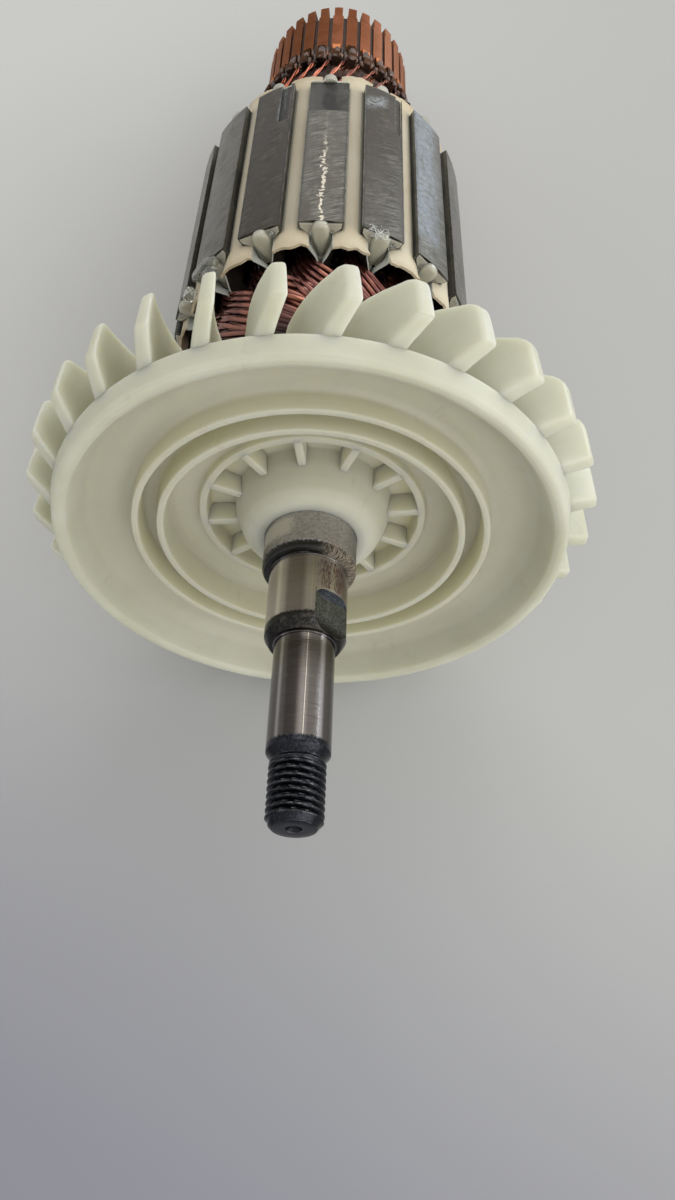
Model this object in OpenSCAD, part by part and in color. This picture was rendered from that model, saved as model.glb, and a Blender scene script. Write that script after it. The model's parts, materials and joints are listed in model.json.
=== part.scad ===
// Motor armature: shaft, cooling fan, laminated core, winding and commutator.
//
// Every piece is drawn about the local z axis, which is the shaft's axis. z = 0 is the
// front lip of the fan, z falls towards the threaded drive end and rises towards the
// commutator and the rear journal. lie() lays the armature down as it comes to rest,
// on the tips of two fan blades and the rim of the commutator.
// Angles around the shaft are counted from the top of the armature as it lies.

/* [Shaft] */
// Diameter of the collar that carries the fan
collar_d = 14.4; // [13.6:0.2:16]
// Length of collar in front of the fan's hub
collar_len = 6.4; // [5:0.1:12]
// Diameter of the front bearing's seat
bearing_d = 12; // [11:0.1:13]
// Length of the front bearing's seat, with its shoulder
bearing_len = 13.3; // [11:0.1:20]
// Diameter of the gear's seat
gear_d = 8.9; // [8.4:0.1:10]
// Length of the gear's seat
gear_len = 18.2; // [10:0.1:30]
// Outer diameter of the thread
thread_d = 7.8; // [6:0.1:8.2]
// Length of the thread
thread_len = 9.3; // [6:0.1:16]
// How deep the spanner flat is cut
flat_depth = 1; // [0.4:0.1:1.4]
// Length of the spanner flat
flat_len = 6.6; // [4:0.1:9]
// Diameter of the shaft inside the core
core_seat_d = 13; // [12.4:0.1:13.4]
// Diameter of the shaft inside the commutator
comm_seat_d = 12; // [10.6:0.1:12.2]
// Length of the shoulder behind the commutator
shoulder_len = 3.2; // [2:0.1:6]
// Diameter of the rear journal
journal_d = 8; // [7:0.1:10]
// Length of the rear journal
journal_len = 11; // [8:0.5:16]

/* [Fan] */
// Radius of the rim's inner lip
rim_r = 37.3; // [35:0.1:40]
// Thickness of the rim at its lip
rim_t = 2; // [1.4:0.1:2.6]
// Depth of the rim's outer wall
rim_h = 3.5; // [2.5:0.1:4.5]
// Depth of the dished web behind the rim's lip
web_depth = 6.7; // [5.5:0.1:7.2]
// Thickness of the web
web_t = 1.8; // [1.2:0.1:2.4]
// Outer radius of the outer ring rib
ring_a_r = 27.9; // [27:0.1:29]
// Outer radius of the inner ring rib
ring_b_r = 24; // [23:0.1:24.6]
// Outer radius of the ring around the hub's pockets
ring_c_r = 17.95; // [17:0.1:19]
// Thickness of each ring rib
ring_t = 1; // [0.8:0.1:1.3]
// How far the ring ribs stand back from the rim's lip
ring_back = 3; // [1.5:0.1:4]
// How far the pocket ring stands back from the rim's lip
pocket_back = 7.85; // [7:0.05:8.5]
// Depth of the hub's pockets
pocket_depth = 3.7; // [2:0.1:5]
// Number of ribs between the hub and the pocket ring
rib_count = 12; // [6:1:18]
// Thickness of a hub rib
rib_t = 1.45; // [1:0.05:2]
// Radius of the hub behind its rounded nose
hub_r = 12.3; // [11.5:0.1:13]
// How far the hub's front stands back from the rim's lip
hub_back = 3.15; // [2:0.05:4]
// Length of the hub
hub_len = 21.4; // [18:0.1:26]
// Number of blades
blade_count = 30; // [20:1:34]
// Thickness of a blade
blade_t = 2; // [1.4:0.1:2.4]
// Sweep of a blade, in degrees for each mm of radius
blade_sweep = 0.885; // [0.3:0.005:1.2]
// Radius of the blades' outer edge
blade_r = 44; // [42:0.1:46]
// Height of a blade's outer tip above the rim's lip
blade_tip = 14; // [12:0.1:16]
// Height of a blade's inner corner above the rim's lip
blade_inner = 19.2; // [16:0.1:21]
// Radius of the blades' inner corner
blade_inner_r = 28; // [26:0.1:31]
// Rounding of a blade's outer tip
tip_round = 2.4; // [1:0.1:3]

/* [Core] */
// Radius of the core
core_r = 27; // [26.6:0.1:28]
// Length of the stack of laminations
core_len = 46; // [30:0.5:60]
// Distance from the fan's hub to the core
core_gap = 23; // [21:0.1:28]
// Number of teeth, and of slots
teeth = 16; // [14:1:17]
// Width of a slot's mouth between two teeth
mouth_w = 3; // [2.4:0.1:3.6]
// Thickness of a tooth's lip over the slot
lip_t = 1.6; // [1.2:0.1:2]
// Half of a slot's width below the lips
slot_half = 3.2; // [2.8:0.05:3.3]
// Radius of the slots' round bottoms from the shaft's axis
slot_floor = 14.3; // [13.6:0.1:15.5]
// Half of a slot's width at its floor
floor_half = 0.95; // [0.7:0.05:1.1]
// Depth of the cuts that balance the armature
balance_depth = 0.7; // [0.3:0.1:1.1]
// Angle of the first tooth from the top
tooth_turn = -1.94; // [-5:0.01:5]

/* [Insulation] */
// Radius of the tube between the shaft and the core
sleeve_r = 9; // [8.6:0.1:9.6]
// Thickness of the slot liners
liner_t = 0.35; // [0.2:0.05:0.5]
// How far the liners stand out of the slots
liner_out = 3.4; // [2:0.1:5]
// Thickness of the slot wedges
wedge_t = 0.45; // [0.3:0.05:0.6]
// How far the wedges stand out of the slots
wedge_out = 4.8; // [3:0.1:6]
// Outer radius of a wedge's arch
arch_r = 4.6; // [4:0.1:6]
// Thickness of the end plates
end_plate_t = 1.2; // [0.8:0.1:1.6]
// Half of a petal's width on the end plates
petal_half = 1.45; // [1.1:0.05:1.7]

/* [Winding] */
// Length of the winding's head at the fan
head_fan = 21; // [16:0.5:22]
// Length of the winding's head at the commutator
head_comm = 18; // [14:0.5:20]
// How far the winding's heads lie below the top of the copper in the slots
head_drop = 2.8; // [2.2:0.1:4.3]
// Radius of a bundle where it leaves its slot
bundle_r = 1.7; // [1.2:0.1:2]
// Radius of a lead to the commutator
lead_r = 0.5; // [0.35:0.05:0.55]

/* [Commutator] */
// Distance from the core to the commutator
comm_gap = 28.5; // [26:0.5:40]
// Length of the bars with their hooks
comm_len = 27.2; // [22:0.1:34]
// Radius of the brush track
track_r = 16.6; // [16:0.1:18]
// Number of bars
bars = 32; // [24:1:36]
// Width of the gap between two bars
bar_gap = 0.85; // [0.5:0.05:1.1]
// Depth of the bars
bar_depth = 4.6; // [4:0.1:5.2]
// How far the insulation between bars lies below the track
undercut = 0.4; // [0.2:0.1:1.2]
// Width of the round notch between two bars at the rear rim
notch_w = 1.35; // [1.2:0.05:1.7]
// Length of that notch
notch_len = 3.8; // [2:0.1:5]
// Length of the hooks
hook_len = 8; // [6.6:0.1:9]
// Width of a hook
hook_w = 1.7; // [1.2:0.05:1.9]
// Height of the hooks above the track
hook_h = 1.9; // [1.8:0.05:2.2]
// Thickness of a hook's strip
hook_t = 0.7; // [0.5:0.05:0.8]
// Thickness of the steel bush
bush_t = 1.6; // [1:0.1:2]
// Angle of the first bar from the top
bar_turn = -1.42; // [-5:0.01:5]

/* [Hidden] */
$fn = 96;
// Radial clearance between pieces that seat on each other
fit = 0.02;

// Stations along the shaft
bearing_z = hub_back - collar_len;
gear_z = bearing_z - bearing_len;
thread_z = gear_z - gear_len;
front_z = thread_z - thread_len;
hub_end = hub_back + hub_len;
core_z = hub_end + core_gap;
core_end = core_z + core_len;
comm_z = core_end + comm_gap;
comm_end = comm_z + comm_len;
journal_z = comm_end + shoulder_len;
rear_z = journal_z + journal_len;
comm_seat_z = comm_z - 3;
shoulder_d = (comm_seat_d + journal_d) / 2;
chamfer = 0.8;
thread_chamfer = 0.9;

// Fan
rim_out = rim_r + rim_t;
rim_back_r = rim_out + 0.6;
web_back = web_depth + web_t;
pocket_floor = pocket_back + pocket_depth;
tip_r = blade_r - 0.25;
kink_z = rim_h + 2.3;
blade_pitch = 360 / blade_count;
blade_steps = 9;

// Core and slots
tooth_pitch = 360 / teeth;
slot_top = core_r - lip_t;
copper_top = slot_top - 1.6;
head_r = copper_top - head_drop;
petal_r = core_r - 0.6;
slot_turn = tooth_turn + tooth_pitch / 2;

// Commutator
bar_pitch = 360 / bars;
bar_in = track_r - bar_depth;
hook_top = track_r + hook_h;
wire_r = track_r + lead_r + 0.05;
wire_z = hook_t + lead_r + 0.1;
bush_r = comm_seat_d / 2 + bush_t;
mould_r = bar_in - fit;

// Rest on two blade tips and the commutator's rear rim: the round of the tips and the
// rim's corner touch the same plane.
tip_offset = blade_pitch / 2 - blade_half(tip_r);
round_z = blade_tip - tip_round;
round_r = (tip_r - tip_round) * cos(tip_offset);
rest_run = comm_end - round_z;
rest_drop = round_r - track_r * cos(bar_pitch / 4);
tilt = atan(rest_drop / rest_run) + asin(tip_round / norm([rest_run, rest_drop]));
lift = round_z * sin(tilt) + round_r * cos(tilt) + tip_round;
front_y = front_z * cos(tilt) - (thread_d / 2 - thread_chamfer) * sin(tilt);
rear_y = rear_z * cos(tilt) + (journal_d / 2 - chamfer) * sin(tilt);
centre_y = (front_y + rear_y) / 2;

function two_digits(i) = i < 10 ? str("0", i) : str(i);

// Plan of a swept blade: its angle, and half its angular width, at radius r
function blade_angle(r) = -blade_sweep * (blade_r - r);
function blade_lean(r) = atan(r * blade_sweep * PI / 180);
function blade_half(r) = blade_t / 2 / (r * cos(blade_lean(r))) * 180 / PI;
function blade_edge(side, r) =
    let (a = blade_angle(r) + side * blade_half(r)) [r * cos(a), r * sin(a)];

// Lays the armature down on the floor, with its middle over the origin
module lie() {
    translate([0, -centre_y, lift]) rotate([-90 - tilt, 0, 0]) children();
}

// Turns what is drawn along +x to an angle counted from the top
module at_angle(a) {
    rotate([0, 0, a - 90]) children();
}

module tube(z0, z1, r_in, r_out) {
    translate([0, 0, z0]) linear_extrude(z1 - z0) difference() {
        circle(r_out);
        circle(r_in);
    }
}

// ---- Shaft ----

module shaft_body() {
    rotate_extrude() polygon([
        [0, front_z],
        [thread_d / 2 - thread_chamfer, front_z],
        [thread_d / 2, front_z + thread_chamfer],
        [thread_d / 2, thread_z - 0.6],
        [thread_d / 2 - 0.5, thread_z],
        [gear_d / 2 - 0.1, thread_z + 1],
        [gear_d / 2, thread_z + 1.2],
        [gear_d / 2, gear_z],
        [bearing_d / 2 - chamfer, gear_z],
        [bearing_d / 2, gear_z + chamfer * 1.6],
        [bearing_d / 2, bearing_z - 0.3],
        [collar_d / 2 - 0.5, bearing_z - 0.3],
        [collar_d / 2, bearing_z + 0.2],
        [collar_d / 2, bearing_z + 0.5],
        [collar_d / 2 - 0.3, bearing_z + 0.6],
        [collar_d / 2 - 0.3, bearing_z + 1],
        [collar_d / 2, bearing_z + 1.1],
        [collar_d / 2, hub_end],
        [core_seat_d / 2, hub_end],
        [core_seat_d / 2, comm_seat_z],
        [comm_seat_d / 2, comm_seat_z],
        [comm_seat_d / 2, comm_end],
        [shoulder_d / 2, comm_end],
        [shoulder_d / 2, journal_z],
        [journal_d / 2, journal_z],
        [journal_d / 2, rear_z - chamfer],
        [journal_d / 2 - chamfer, rear_z],
        [0, rear_z]
    ]);
}

// Centre-drilled end: a small hole with a 60 degree countersink
module centre_hole() {
    rotate_extrude() polygon([[0, -1], [1.6, -1], [1.15, 0], [0.5, 1.1], [0.5, 2.4], [0, 2.7]]);
}

// Spanner flat on the bearing's seat, open at its front and with round corners behind
module spanner_flat() {
    corner = 1.2;
    flat_r = bearing_d / 2 - flat_depth;
    half = sqrt(pow(bearing_d / 2, 2) - pow(flat_r, 2));
    at_angle(46) translate([flat_r, 0, gear_z]) rotate([0, 90, 0]) linear_extrude(flat_depth + 1) {
        translate([-flat_len + corner, -half]) square([flat_len, 2 * half]);
        for (s = [-1, 1]) translate([-flat_len + corner, s * (half - corner)]) circle(corner);
        translate([-flat_len, corner - half]) square([2 * corner, 2 * (half - corner)]);
    }
}

module shaft() {
    color("silver") difference() {
        shaft_body();
        translate([0, 0, front_z]) centre_hole();
        translate([0, 0, rear_z]) mirror([0, 0, 1]) centre_hole();
        spanner_flat();
    }
}

// ---- Fan ----

// Half section of the dished disc with its ring ribs and hub, as radius and height
module fan_section() {
    polygon([
        // hub nose
        [collar_d / 2 + fit, hub_back],
        [hub_r - 3.7, hub_back],
        [hub_r - 2.5, hub_back + 0.55],
        [hub_r - 1.6, hub_back + 1.6],
        [hub_r - 0.9, hub_back + 3.2],
        [hub_r - 0.1, pocket_back + 0.6],
        [hub_r + 0.3, pocket_floor],
        // pocket ring
        [ring_c_r - ring_t - 0.3, pocket_floor],
        [ring_c_r - ring_t - 0.15, pocket_back],
        [ring_c_r, pocket_back],
        [ring_c_r + 0.2, pocket_back + 1.4],
        // inner ring rib
        [ring_b_r - ring_t - 0.5, pocket_back + 1.2],
        [ring_b_r - ring_t - 0.1, pocket_back + 0.8],
        [ring_b_r - ring_t, ring_back + 0.15],
        [ring_b_r, ring_back + 0.15],
        [ring_b_r + 0.2, web_depth + 0.8],
        // outer ring rib
        [ring_a_r - ring_t - 0.2, web_depth + 0.6],
        [ring_a_r - ring_t, ring_back],
        [ring_a_r, ring_back],
        [ring_a_r + 0.15, web_depth - 0.8],
        [ring_a_r + 0.5, web_depth - 0.2],
        [ring_a_r + 1.2, web_depth],
        // dished web and rolled rim
        [rim_r - 3.7, web_depth - 0.7],
        [rim_r - 2.1, web_depth - 2.1],
        [rim_r - 0.9, (web_depth - 2.1) / 2],
        [rim_r - 0.1, 0.5],
        [rim_r + 0.35, 0],
        [rim_out - 0.7, 0],
        [rim_out - 0.1, 0.5],
        [rim_back_r, rim_h],
        // back of the disc
        [rim_back_r - 1.2, rim_h + 1],
        [rim_r + 0.1, web_back - 2.2],
        [rim_r - 1.7, web_back - 0.7],
        [rim_r - 4, web_back],
        [ring_a_r + 1, web_back + 0.4],
        [ring_b_r, pocket_back + 2.6],
        [ring_c_r + 1.5, pocket_floor + 0.9],
        [hub_r + 1.6, pocket_floor + web_t],
        [hub_r + 0.7, pocket_floor + web_t + 0.6],
        [hub_r, hub_end - 0.6],
        [hub_r - 0.6, hub_end],
        [collar_d / 2 + fit, hub_end]
    ]);
}

// Half section that trims the blades: flared foot, outer edge, round tip, rising top
module blade_section() {
    rise = (blade_inner - blade_tip) / (tip_r - blade_inner_r);
    polygon([
        [rim_back_r - 1.2, rim_h + 0.3],
        [rim_back_r, rim_h],
        [blade_r, kink_z],
        [tip_r, blade_tip - tip_round],
        [tip_r - 0.3 * tip_round, blade_tip - 0.3 * tip_round],
        [tip_r - tip_round, blade_tip],
        [tip_r - 3 * tip_round, blade_tip + 2.6 * tip_round * rise],
        [(tip_r + blade_inner_r) / 2, (blade_tip + blade_inner) / 2 + 0.7],
        [blade_inner_r + 1.5, blade_inner],
        [blade_inner_r, blade_inner - 0.4],
        [blade_inner_r - 1, blade_inner - 2],
        [blade_inner_r - 2, web_back - 0.3],
        [rim_r - 4, web_back - 0.2],
        [rim_r - 1.7, web_back - 1]
    ]);
}

module blade_plan() {
    inner = blade_inner_r - 3;
    step = (blade_r + 1 - inner) / blade_steps;
    polygon([
        for (i = [0 : blade_steps]) blade_edge(-1, inner + i * step),
        for (i = [blade_steps : -1 : 0]) blade_edge(1, inner + i * step)
    ]);
}

module fan_blades() {
    intersection() {
        linear_extrude(blade_inner + 1)
            for (i = [0 : blade_count - 1])
                rotate([0, 0, (i + 0.5) * blade_pitch - 90]) blade_plan();
        rotate_extrude() blade_section();
    }
}

module hub_ribs() {
    for (i = [0 : rib_count - 1])
        at_angle(i * 360 / rib_count - 8.35)
            translate([hub_r - 0.6, -rib_t / 2, pocket_back])
                cube([ring_c_r - ring_t / 2 - hub_r, rib_t, pocket_depth + 0.5]);
}

module fan() {
    color("ivory") union() {
        rotate_extrude() fan_section();
        fan_blades();
        hub_ribs();
    }
}

// ---- Core ----

// Outline of one slot along +x, drawn in from its walls by inset and open up to radius top
module slot_outline(inset, top) {
    wall_rise = (slot_half - floor_half) / (slot_top - slot_floor);
    translate([slot_floor, 0]) circle(floor_half - inset);
    polygon([
        [slot_floor, inset - floor_half],
        [top, inset - floor_half - wall_rise * (top - slot_floor)],
        [top, floor_half - inset + wall_rise * (top - slot_floor)],
        [slot_floor, floor_half - inset]
    ]);
}

module lamination() {
    difference() {
        circle(core_r);
        circle(sleeve_r + fit);
        for (i = [0 : teeth - 1]) at_angle(slot_turn + i * tooth_pitch) {
            slot_outline(0, slot_top);
            translate([slot_top - 1, -mouth_w / 2]) square([core_r, mouth_w]);
        }
    }
}

// Cuts milled into the teeth at the commutator's end: tooth, side, width and length
module balance_cuts() {
    face = core_r * sin(tooth_pitch / 2) - mouth_w / 2;
    cuts = [[0, 0, 2 * face + 1, 11.5], [-1, face - 1.5, 1.9, 13], [1, face - 0.7, 1.3, 13.5]];
    for (c = cuts) at_angle(tooth_turn + c[0] * tooth_pitch)
        translate([core_r - balance_depth, c[1] - c[2] / 2, core_end - c[3]])
            cube([balance_depth + 2, c[2], c[3] + 1]);
}

module core() {
    color("dimgray") difference() {
        translate([0, 0, core_z]) linear_extrude(core_len) lamination();
        balance_cuts();
    }
}

// ---- Insulation ----

module sleeve() {
    color("beige") tube(hub_end + fit, comm_seat_z, core_seat_d / 2 + fit, sleeve_r);
}

// Star-shaped end plate: a narrow spoke on every tooth, which swells to a rounded petal
module end_plate() {
    neck = slot_floor - floor_half - 0.4;
    spoke_half = petal_half * 0.4;
    petal_foot = head_r - 0.6;
    tube(0, end_plate_t, sleeve_r + fit, neck);
    for (i = [0 : teeth - 1]) at_angle(tooth_turn + i * tooth_pitch) {
        translate([neck - 0.6, -spoke_half, 0]) cube([petal_r - neck, 2 * spoke_half, end_plate_t]);
        intersection() {
            translate([petal_foot, 0, 0]) rotate([0, 90, 0])
                cylinder(h = petal_r - petal_foot, r1 = spoke_half / 2, r2 = petal_half * 1.1);
            translate([petal_foot, -petal_half, 0])
                cube([petal_r - petal_foot, 2 * petal_half, end_plate_t + 0.6]);
        }
    }
}

module insulator_fan() {
    color("honeydew") translate([0, 0, core_z - fit]) mirror([0, 0, 1]) end_plate();
}

module insulator_comm() {
    color("honeydew") translate([0, 0, core_end + fit]) end_plate();
}

// U-shaped paper in every slot, standing out at both ends of the core
module slot_liners() {
    top = slot_top - 1.3;
    color("gainsboro") translate([0, 0, core_z - liner_out]) linear_extrude(core_len + 2 * liner_out)
        for (i = [0 : teeth - 1]) at_angle(slot_turn + i * tooth_pitch) difference() {
            slot_outline(fit, top);
            slot_outline(fit + liner_t, top + 1);
        }
}

// Arched paper strip that closes one slot under the teeth's lips
module wedge(i) {
    half = slot_half - fit - liner_t - 0.05;
    crown = slot_top + arch_r - sqrt(pow(arch_r, 2) - pow(mouth_w / 2, 2)) - fit;
    color("wheat") translate([0, 0, core_z - wedge_out])
        linear_extrude(core_len + 2 * wedge_out) at_angle(slot_turn + i * tooth_pitch)
            intersection() {
                translate([crown - arch_r, 0]) difference() {
                    circle(arch_r);
                    circle(arch_r - wedge_t);
                }
                translate([crown - arch_r, -half]) square([arch_r + 1, 2 * half]);
            }
}

// ---- Winding ----

// Copper in the slots
module slot_copper() {
    reach = liner_out + 0.3;
    translate([0, 0, core_z - reach]) linear_extrude(core_len + 2 * reach)
        for (i = [0 : teeth - 1]) at_angle(slot_turn + i * tooth_pitch)
            slot_outline(fit + liner_t + fit, copper_top);
}

// One head of the winding from the core's face outwards: a crown of end turns, the bundles
// that leave the slots, and those that wrap round the crown
module winding_head(length) {
    base = liner_out + fit;
    rotate_extrude() polygon([
        [sleeve_r + fit, base],
        [head_r - 1.6, base],
        [head_r - 0.4, base + 1.4],
        [head_r - 0.4, length * 0.42],
        [head_r - 1.6, length * 0.66],
        [head_r - 4, length * 0.86],
        [head_r - 7, length - 0.4],
        [head_r - 9, length],
        [sleeve_r + 0.8, length - 0.3],
        [sleeve_r + fit, length - 1.2]
    ]);
    intersection() {
        translate([0, 0, base]) cylinder(h = length, r = core_r);
        for (i = [0 : teeth - 1]) at_angle(slot_turn + i * tooth_pitch)
            translate([head_r - 1, 0, base - 0.6]) rotate([24, -17, 0])
                cylinder(h = length * 0.62, r1 = bundle_r, r2 = bundle_r * 0.7);
    }
    for (i = [0 : teeth - 1]) at_angle(slot_turn + (i + 0.5) * tooth_pitch)
        translate([head_r - bundle_r * 0.75, 0, length * 0.5]) rotate([68, 0, 0])
            cylinder(h = head_r * 0.62, r1 = bundle_r, r2 = bundle_r * 0.75, center = true);
}

// A straight run of wire between two points
module wire_run(a, b, r) {
    way = b - a;
    translate(a) rotate([0, acos(way[2] / norm(way)), atan2(way[1], way[0])])
        cylinder(h = norm(way), r = r, $fn = 8);
}

// Leads from the head to the hooks: each climbs to the gap beside its hook, and crosses
// under the hook's bend
module leads() {
    beside = -hook_w / 2 - lead_r - 0.1;
    head_z = core_end + head_comm * 0.7;
    for (i = [0 : bars - 1]) at_angle(bar_turn + i * bar_pitch) {
        wire_run([slot_floor + 1.4, beside - 2.4, head_z],
            [wire_r, beside, comm_z - 0.5], lead_r - 0.03);
        wire_run([wire_r, beside, comm_z - 1], [wire_r, beside, comm_z + wire_z + 0.3], lead_r);
        wire_run([wire_r, beside - 0.3, comm_z + wire_z],
            [wire_r, hook_w / 2 + 0.2, comm_z + wire_z], lead_r - 0.03);
    }
}

module winding() {
    color("sienna") union() {
        slot_copper();
        translate([0, 0, core_z]) mirror([0, 0, 1]) winding_head(head_fan);
        translate([0, 0, core_end]) winding_head(head_comm);
        leads();
    }
}

// ---- Commutator ----

module comm_bush() {
    color("gray") tube(comm_z - 1, comm_end - 1, comm_seat_d / 2 + fit, bush_r);
}

// Moulded body with a fin of insulation between every two bars
module comm_moulding() {
    color("saddlebrown") union() {
        tube(comm_z - 0.6, comm_end - 0.6, bush_r + fit, mould_r);
        translate([0, 0, comm_z + 0.5]) linear_extrude(comm_len - notch_len - 0.5 - notch_w / 2)
            for (i = [0 : bars - 1]) at_angle(bar_turn + (i + 0.5) * bar_pitch)
                translate([mould_r - 0.4, fit - bar_gap / 2])
                    square([track_r - undercut - mould_r + 0.4, bar_gap - 2 * fit]);
    }
}

module bar_outline() {
    reach = track_r * 1.2;
    intersection() {
        difference() {
            circle(track_r);
            circle(bar_in);
        }
        intersection_for (s = [-1, 1]) rotate(s * bar_pitch / 2)
            translate([0, -s * bar_gap / 2 - (s + 1) / 2 * reach]) square([reach, reach]);
    }
}

// Side view of a hook: a strip that rises at the bar's front end, turns over the lead's
// wire and comes down again flat onto the track
module hook_side() {
    difference() {
        polygon([
            [track_r - 1, 0],
            [hook_top - 0.4, 0],
            [hook_top, 0.4],
            [hook_top, wire_z + lead_r],
            [track_r + hook_t + 0.1, wire_z + lead_r + 1.6],
            [track_r + hook_t, hook_len - 0.4],
            [track_r + hook_t - 0.3, hook_len],
            [track_r - 1, hook_len]
        ]);
        translate([wire_r, wire_z]) circle(lead_r + fit);
        translate([track_r, wire_z - lead_r - fit]) square([lead_r, 2 * lead_r + 2 * fit]);
    }
}

module bar(i) {
    color("peru") at_angle(bar_turn + i * bar_pitch) difference() {
        union() {
            translate([0, 0, comm_z]) linear_extrude(comm_len) bar_outline();
            translate([0, hook_w / 2, comm_z]) rotate([90, 0, 0])
                linear_extrude(hook_w) hook_side();
        }
        for (s = [-1, 1]) rotate([0, 0, s * bar_pitch / 2]) {
            translate([bar_in - 1, 0, comm_end - notch_len]) rotate([0, 90, 0])
                cylinder(h = bar_depth + 3, r = notch_w / 2);
            translate([bar_in - 1, -notch_w / 2, comm_end - notch_len])
                cube([bar_depth + 3, notch_w, notch_len + 1]);
        }
    }
}

lie() shaft();
lie() fan();
lie() core();
lie() sleeve();
lie() insulator_fan();
lie() insulator_comm();
lie() slot_liners();
lie() winding();
lie() comm_bush();
lie() comm_moulding();
for (i = [1 : teeth])
    lie() wedge(i);
for (i = [1 : bars])
    lie() bar(i);
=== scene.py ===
import bpy, bmesh, json, math, random
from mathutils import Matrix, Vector, noise


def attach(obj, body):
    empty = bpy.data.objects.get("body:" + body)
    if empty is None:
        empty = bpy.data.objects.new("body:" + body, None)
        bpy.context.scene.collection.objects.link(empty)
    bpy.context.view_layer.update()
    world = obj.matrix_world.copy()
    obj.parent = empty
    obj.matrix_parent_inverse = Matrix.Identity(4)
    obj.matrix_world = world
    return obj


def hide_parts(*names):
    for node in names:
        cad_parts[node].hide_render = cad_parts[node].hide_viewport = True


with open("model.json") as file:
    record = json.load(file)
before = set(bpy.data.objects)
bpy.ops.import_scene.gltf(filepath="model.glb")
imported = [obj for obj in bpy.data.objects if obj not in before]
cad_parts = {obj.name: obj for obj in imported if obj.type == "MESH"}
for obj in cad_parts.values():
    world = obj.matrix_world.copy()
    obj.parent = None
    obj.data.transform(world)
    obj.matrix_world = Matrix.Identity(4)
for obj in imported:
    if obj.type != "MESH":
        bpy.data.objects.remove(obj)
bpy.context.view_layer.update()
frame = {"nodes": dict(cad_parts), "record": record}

print("armature: frame loaded,", len(frame["nodes"]), "solids")

# the shaft's line, from two of the record's mounts
# every piece is drawn by radius, angle from the top and station along the shaft, in mm
mounts = {m["name"]: m for m in frame["record"]["mounts"]}
seatMiddle = Vector(mounts["front_bearing_seat"]["pos_m"])
journalMiddle = Vector(mounts["rear_journal"]["pos_m"])
along = (journalMiddle - seatMiddle).normalized()  # from the threaded end to the rear journal
upward = Vector((0, -along.z, along.y))
lip = seatMiddle + along * 0.00941  # station 0 is the fan's front lip
mm = 0.001


def place(radius, angle, station):
    turn = math.radians(angle)
    rise, aside = radius * math.cos(turn), Vector((radius * math.sin(turn), 0, 0))
    return lip + (along * station + upward * rise) * mm + aside * mm


def beside(r, y, turn, station):
    # a point y to the side of the radius that stands at turn
    return place(math.hypot(r, y), turn + math.degrees(math.atan2(y, r)), station)


def wobble(x, y, z):
    return noise.noise(Vector((x, y, z)))


def faceOutwards(mesh):
    turned = bmesh.new()
    turned.from_mesh(mesh)
    bmesh.ops.recalc_face_normals(turned, faces=turned.faces)
    turned.to_mesh(mesh)
    turned.free()


def newObject(name, data):
    thing = bpy.data.objects.new(name, data)
    bpy.context.scene.collection.objects.link(thing)
    return thing


def shadeSmooth(mesh, sharpFrom):
    mesh.shade_smooth()
    mesh.set_sharp_from_angle(angle=math.radians(sharpFrom))


def addPiece(name, points, faces, slot, replaced=(), smooth=35.0, materials=(), slots=None):
    mesh = bpy.data.meshes.new(name)
    mesh.from_pydata([tuple(p) for p in points], [], faces)
    if slots is not None:
        mesh.polygons.foreach_set("material_index", slots)
    for material in materials:
        mesh.materials.append(material)
    mesh.validate()
    faceOutwards(mesh)
    piece = newObject(name, mesh)
    if smooth is not None:
        shadeSmooth(mesh, smooth)
    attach(piece, "root")
    if replaced:
        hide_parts(*replaced)
    return piece


def addMesh(points, faces, morePoints, moreFaces):
    base = len(points)
    points += morePoints
    faces += [tuple(base + i for i in f) for f in moreFaces]


def stitch(faces, a, b, count):
    # joins two rings of count points, which start at a and b
    for k in range(count):
        n = (k + 1) % count
        faces.append((a + k, a + n, b + n, b + k))


def addRun(points, faces, rings):
    # joins equal rings of points into one closed run
    base, count = len(points), len(rings[0])
    for ring in rings:
        points += ring
    for a in range(base, len(points) - count, count):
        stitch(faces, a, a + count, count)
    faces.append(tuple(base + k for k in range(count))[::-1])
    faces.append(tuple(len(points) - count + k for k in range(count)))


def sheetFaces(base, rows, cols):
    # faces of a sheet with two layers of points, and 1 for each face of the second layer
    faces, layers = [], []
    low = base + rows * cols
    for j in range(rows - 1):
        for k in range(cols - 1):
            a = j * cols + k
            faces.append((base + a, base + a + 1, base + a + cols + 1, base + a + cols))
            faces.append((low + a, low + a + cols, low + a + cols + 1, low + a + 1))
            layers += [0, 1]
        for a in (j * cols, (j + 1) * cols - 1):
            faces.append((base + a, base + a + cols, low + a + cols, low + a))
            layers.append(0)
    for j in (0, rows - 1):
        for a in range(j * cols, (j + 1) * cols - 1):
            faces.append((base + a, base + a + 1, low + a + 1, low + a))
            layers.append(0)
    return faces, layers


def soften(points, steps=5):
    # corners are (station, radius, corner radius); each is rounded by its own radius
    out, count = [], len(points)
    for i, (z, r, size) in enumerate(points):
        here = Vector((z, r))
        a, b = Vector(points[i - 1][:2]) - here, Vector(points[(i + 1) % count][:2]) - here
        reach = min(size / math.tan(max(a.angle(b, math.pi) / 2, 0.2)), a.length * 0.48, b.length * 0.48)
        start, end = here + a.normalized() * reach, here + b.normalized() * reach
        for k in range(steps + 1):
            t = k / steps
            out.append(tuple(start * (1 - t) ** 2 + here * 2 * t * (1 - t) + end * t ** 2))
    return out


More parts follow.
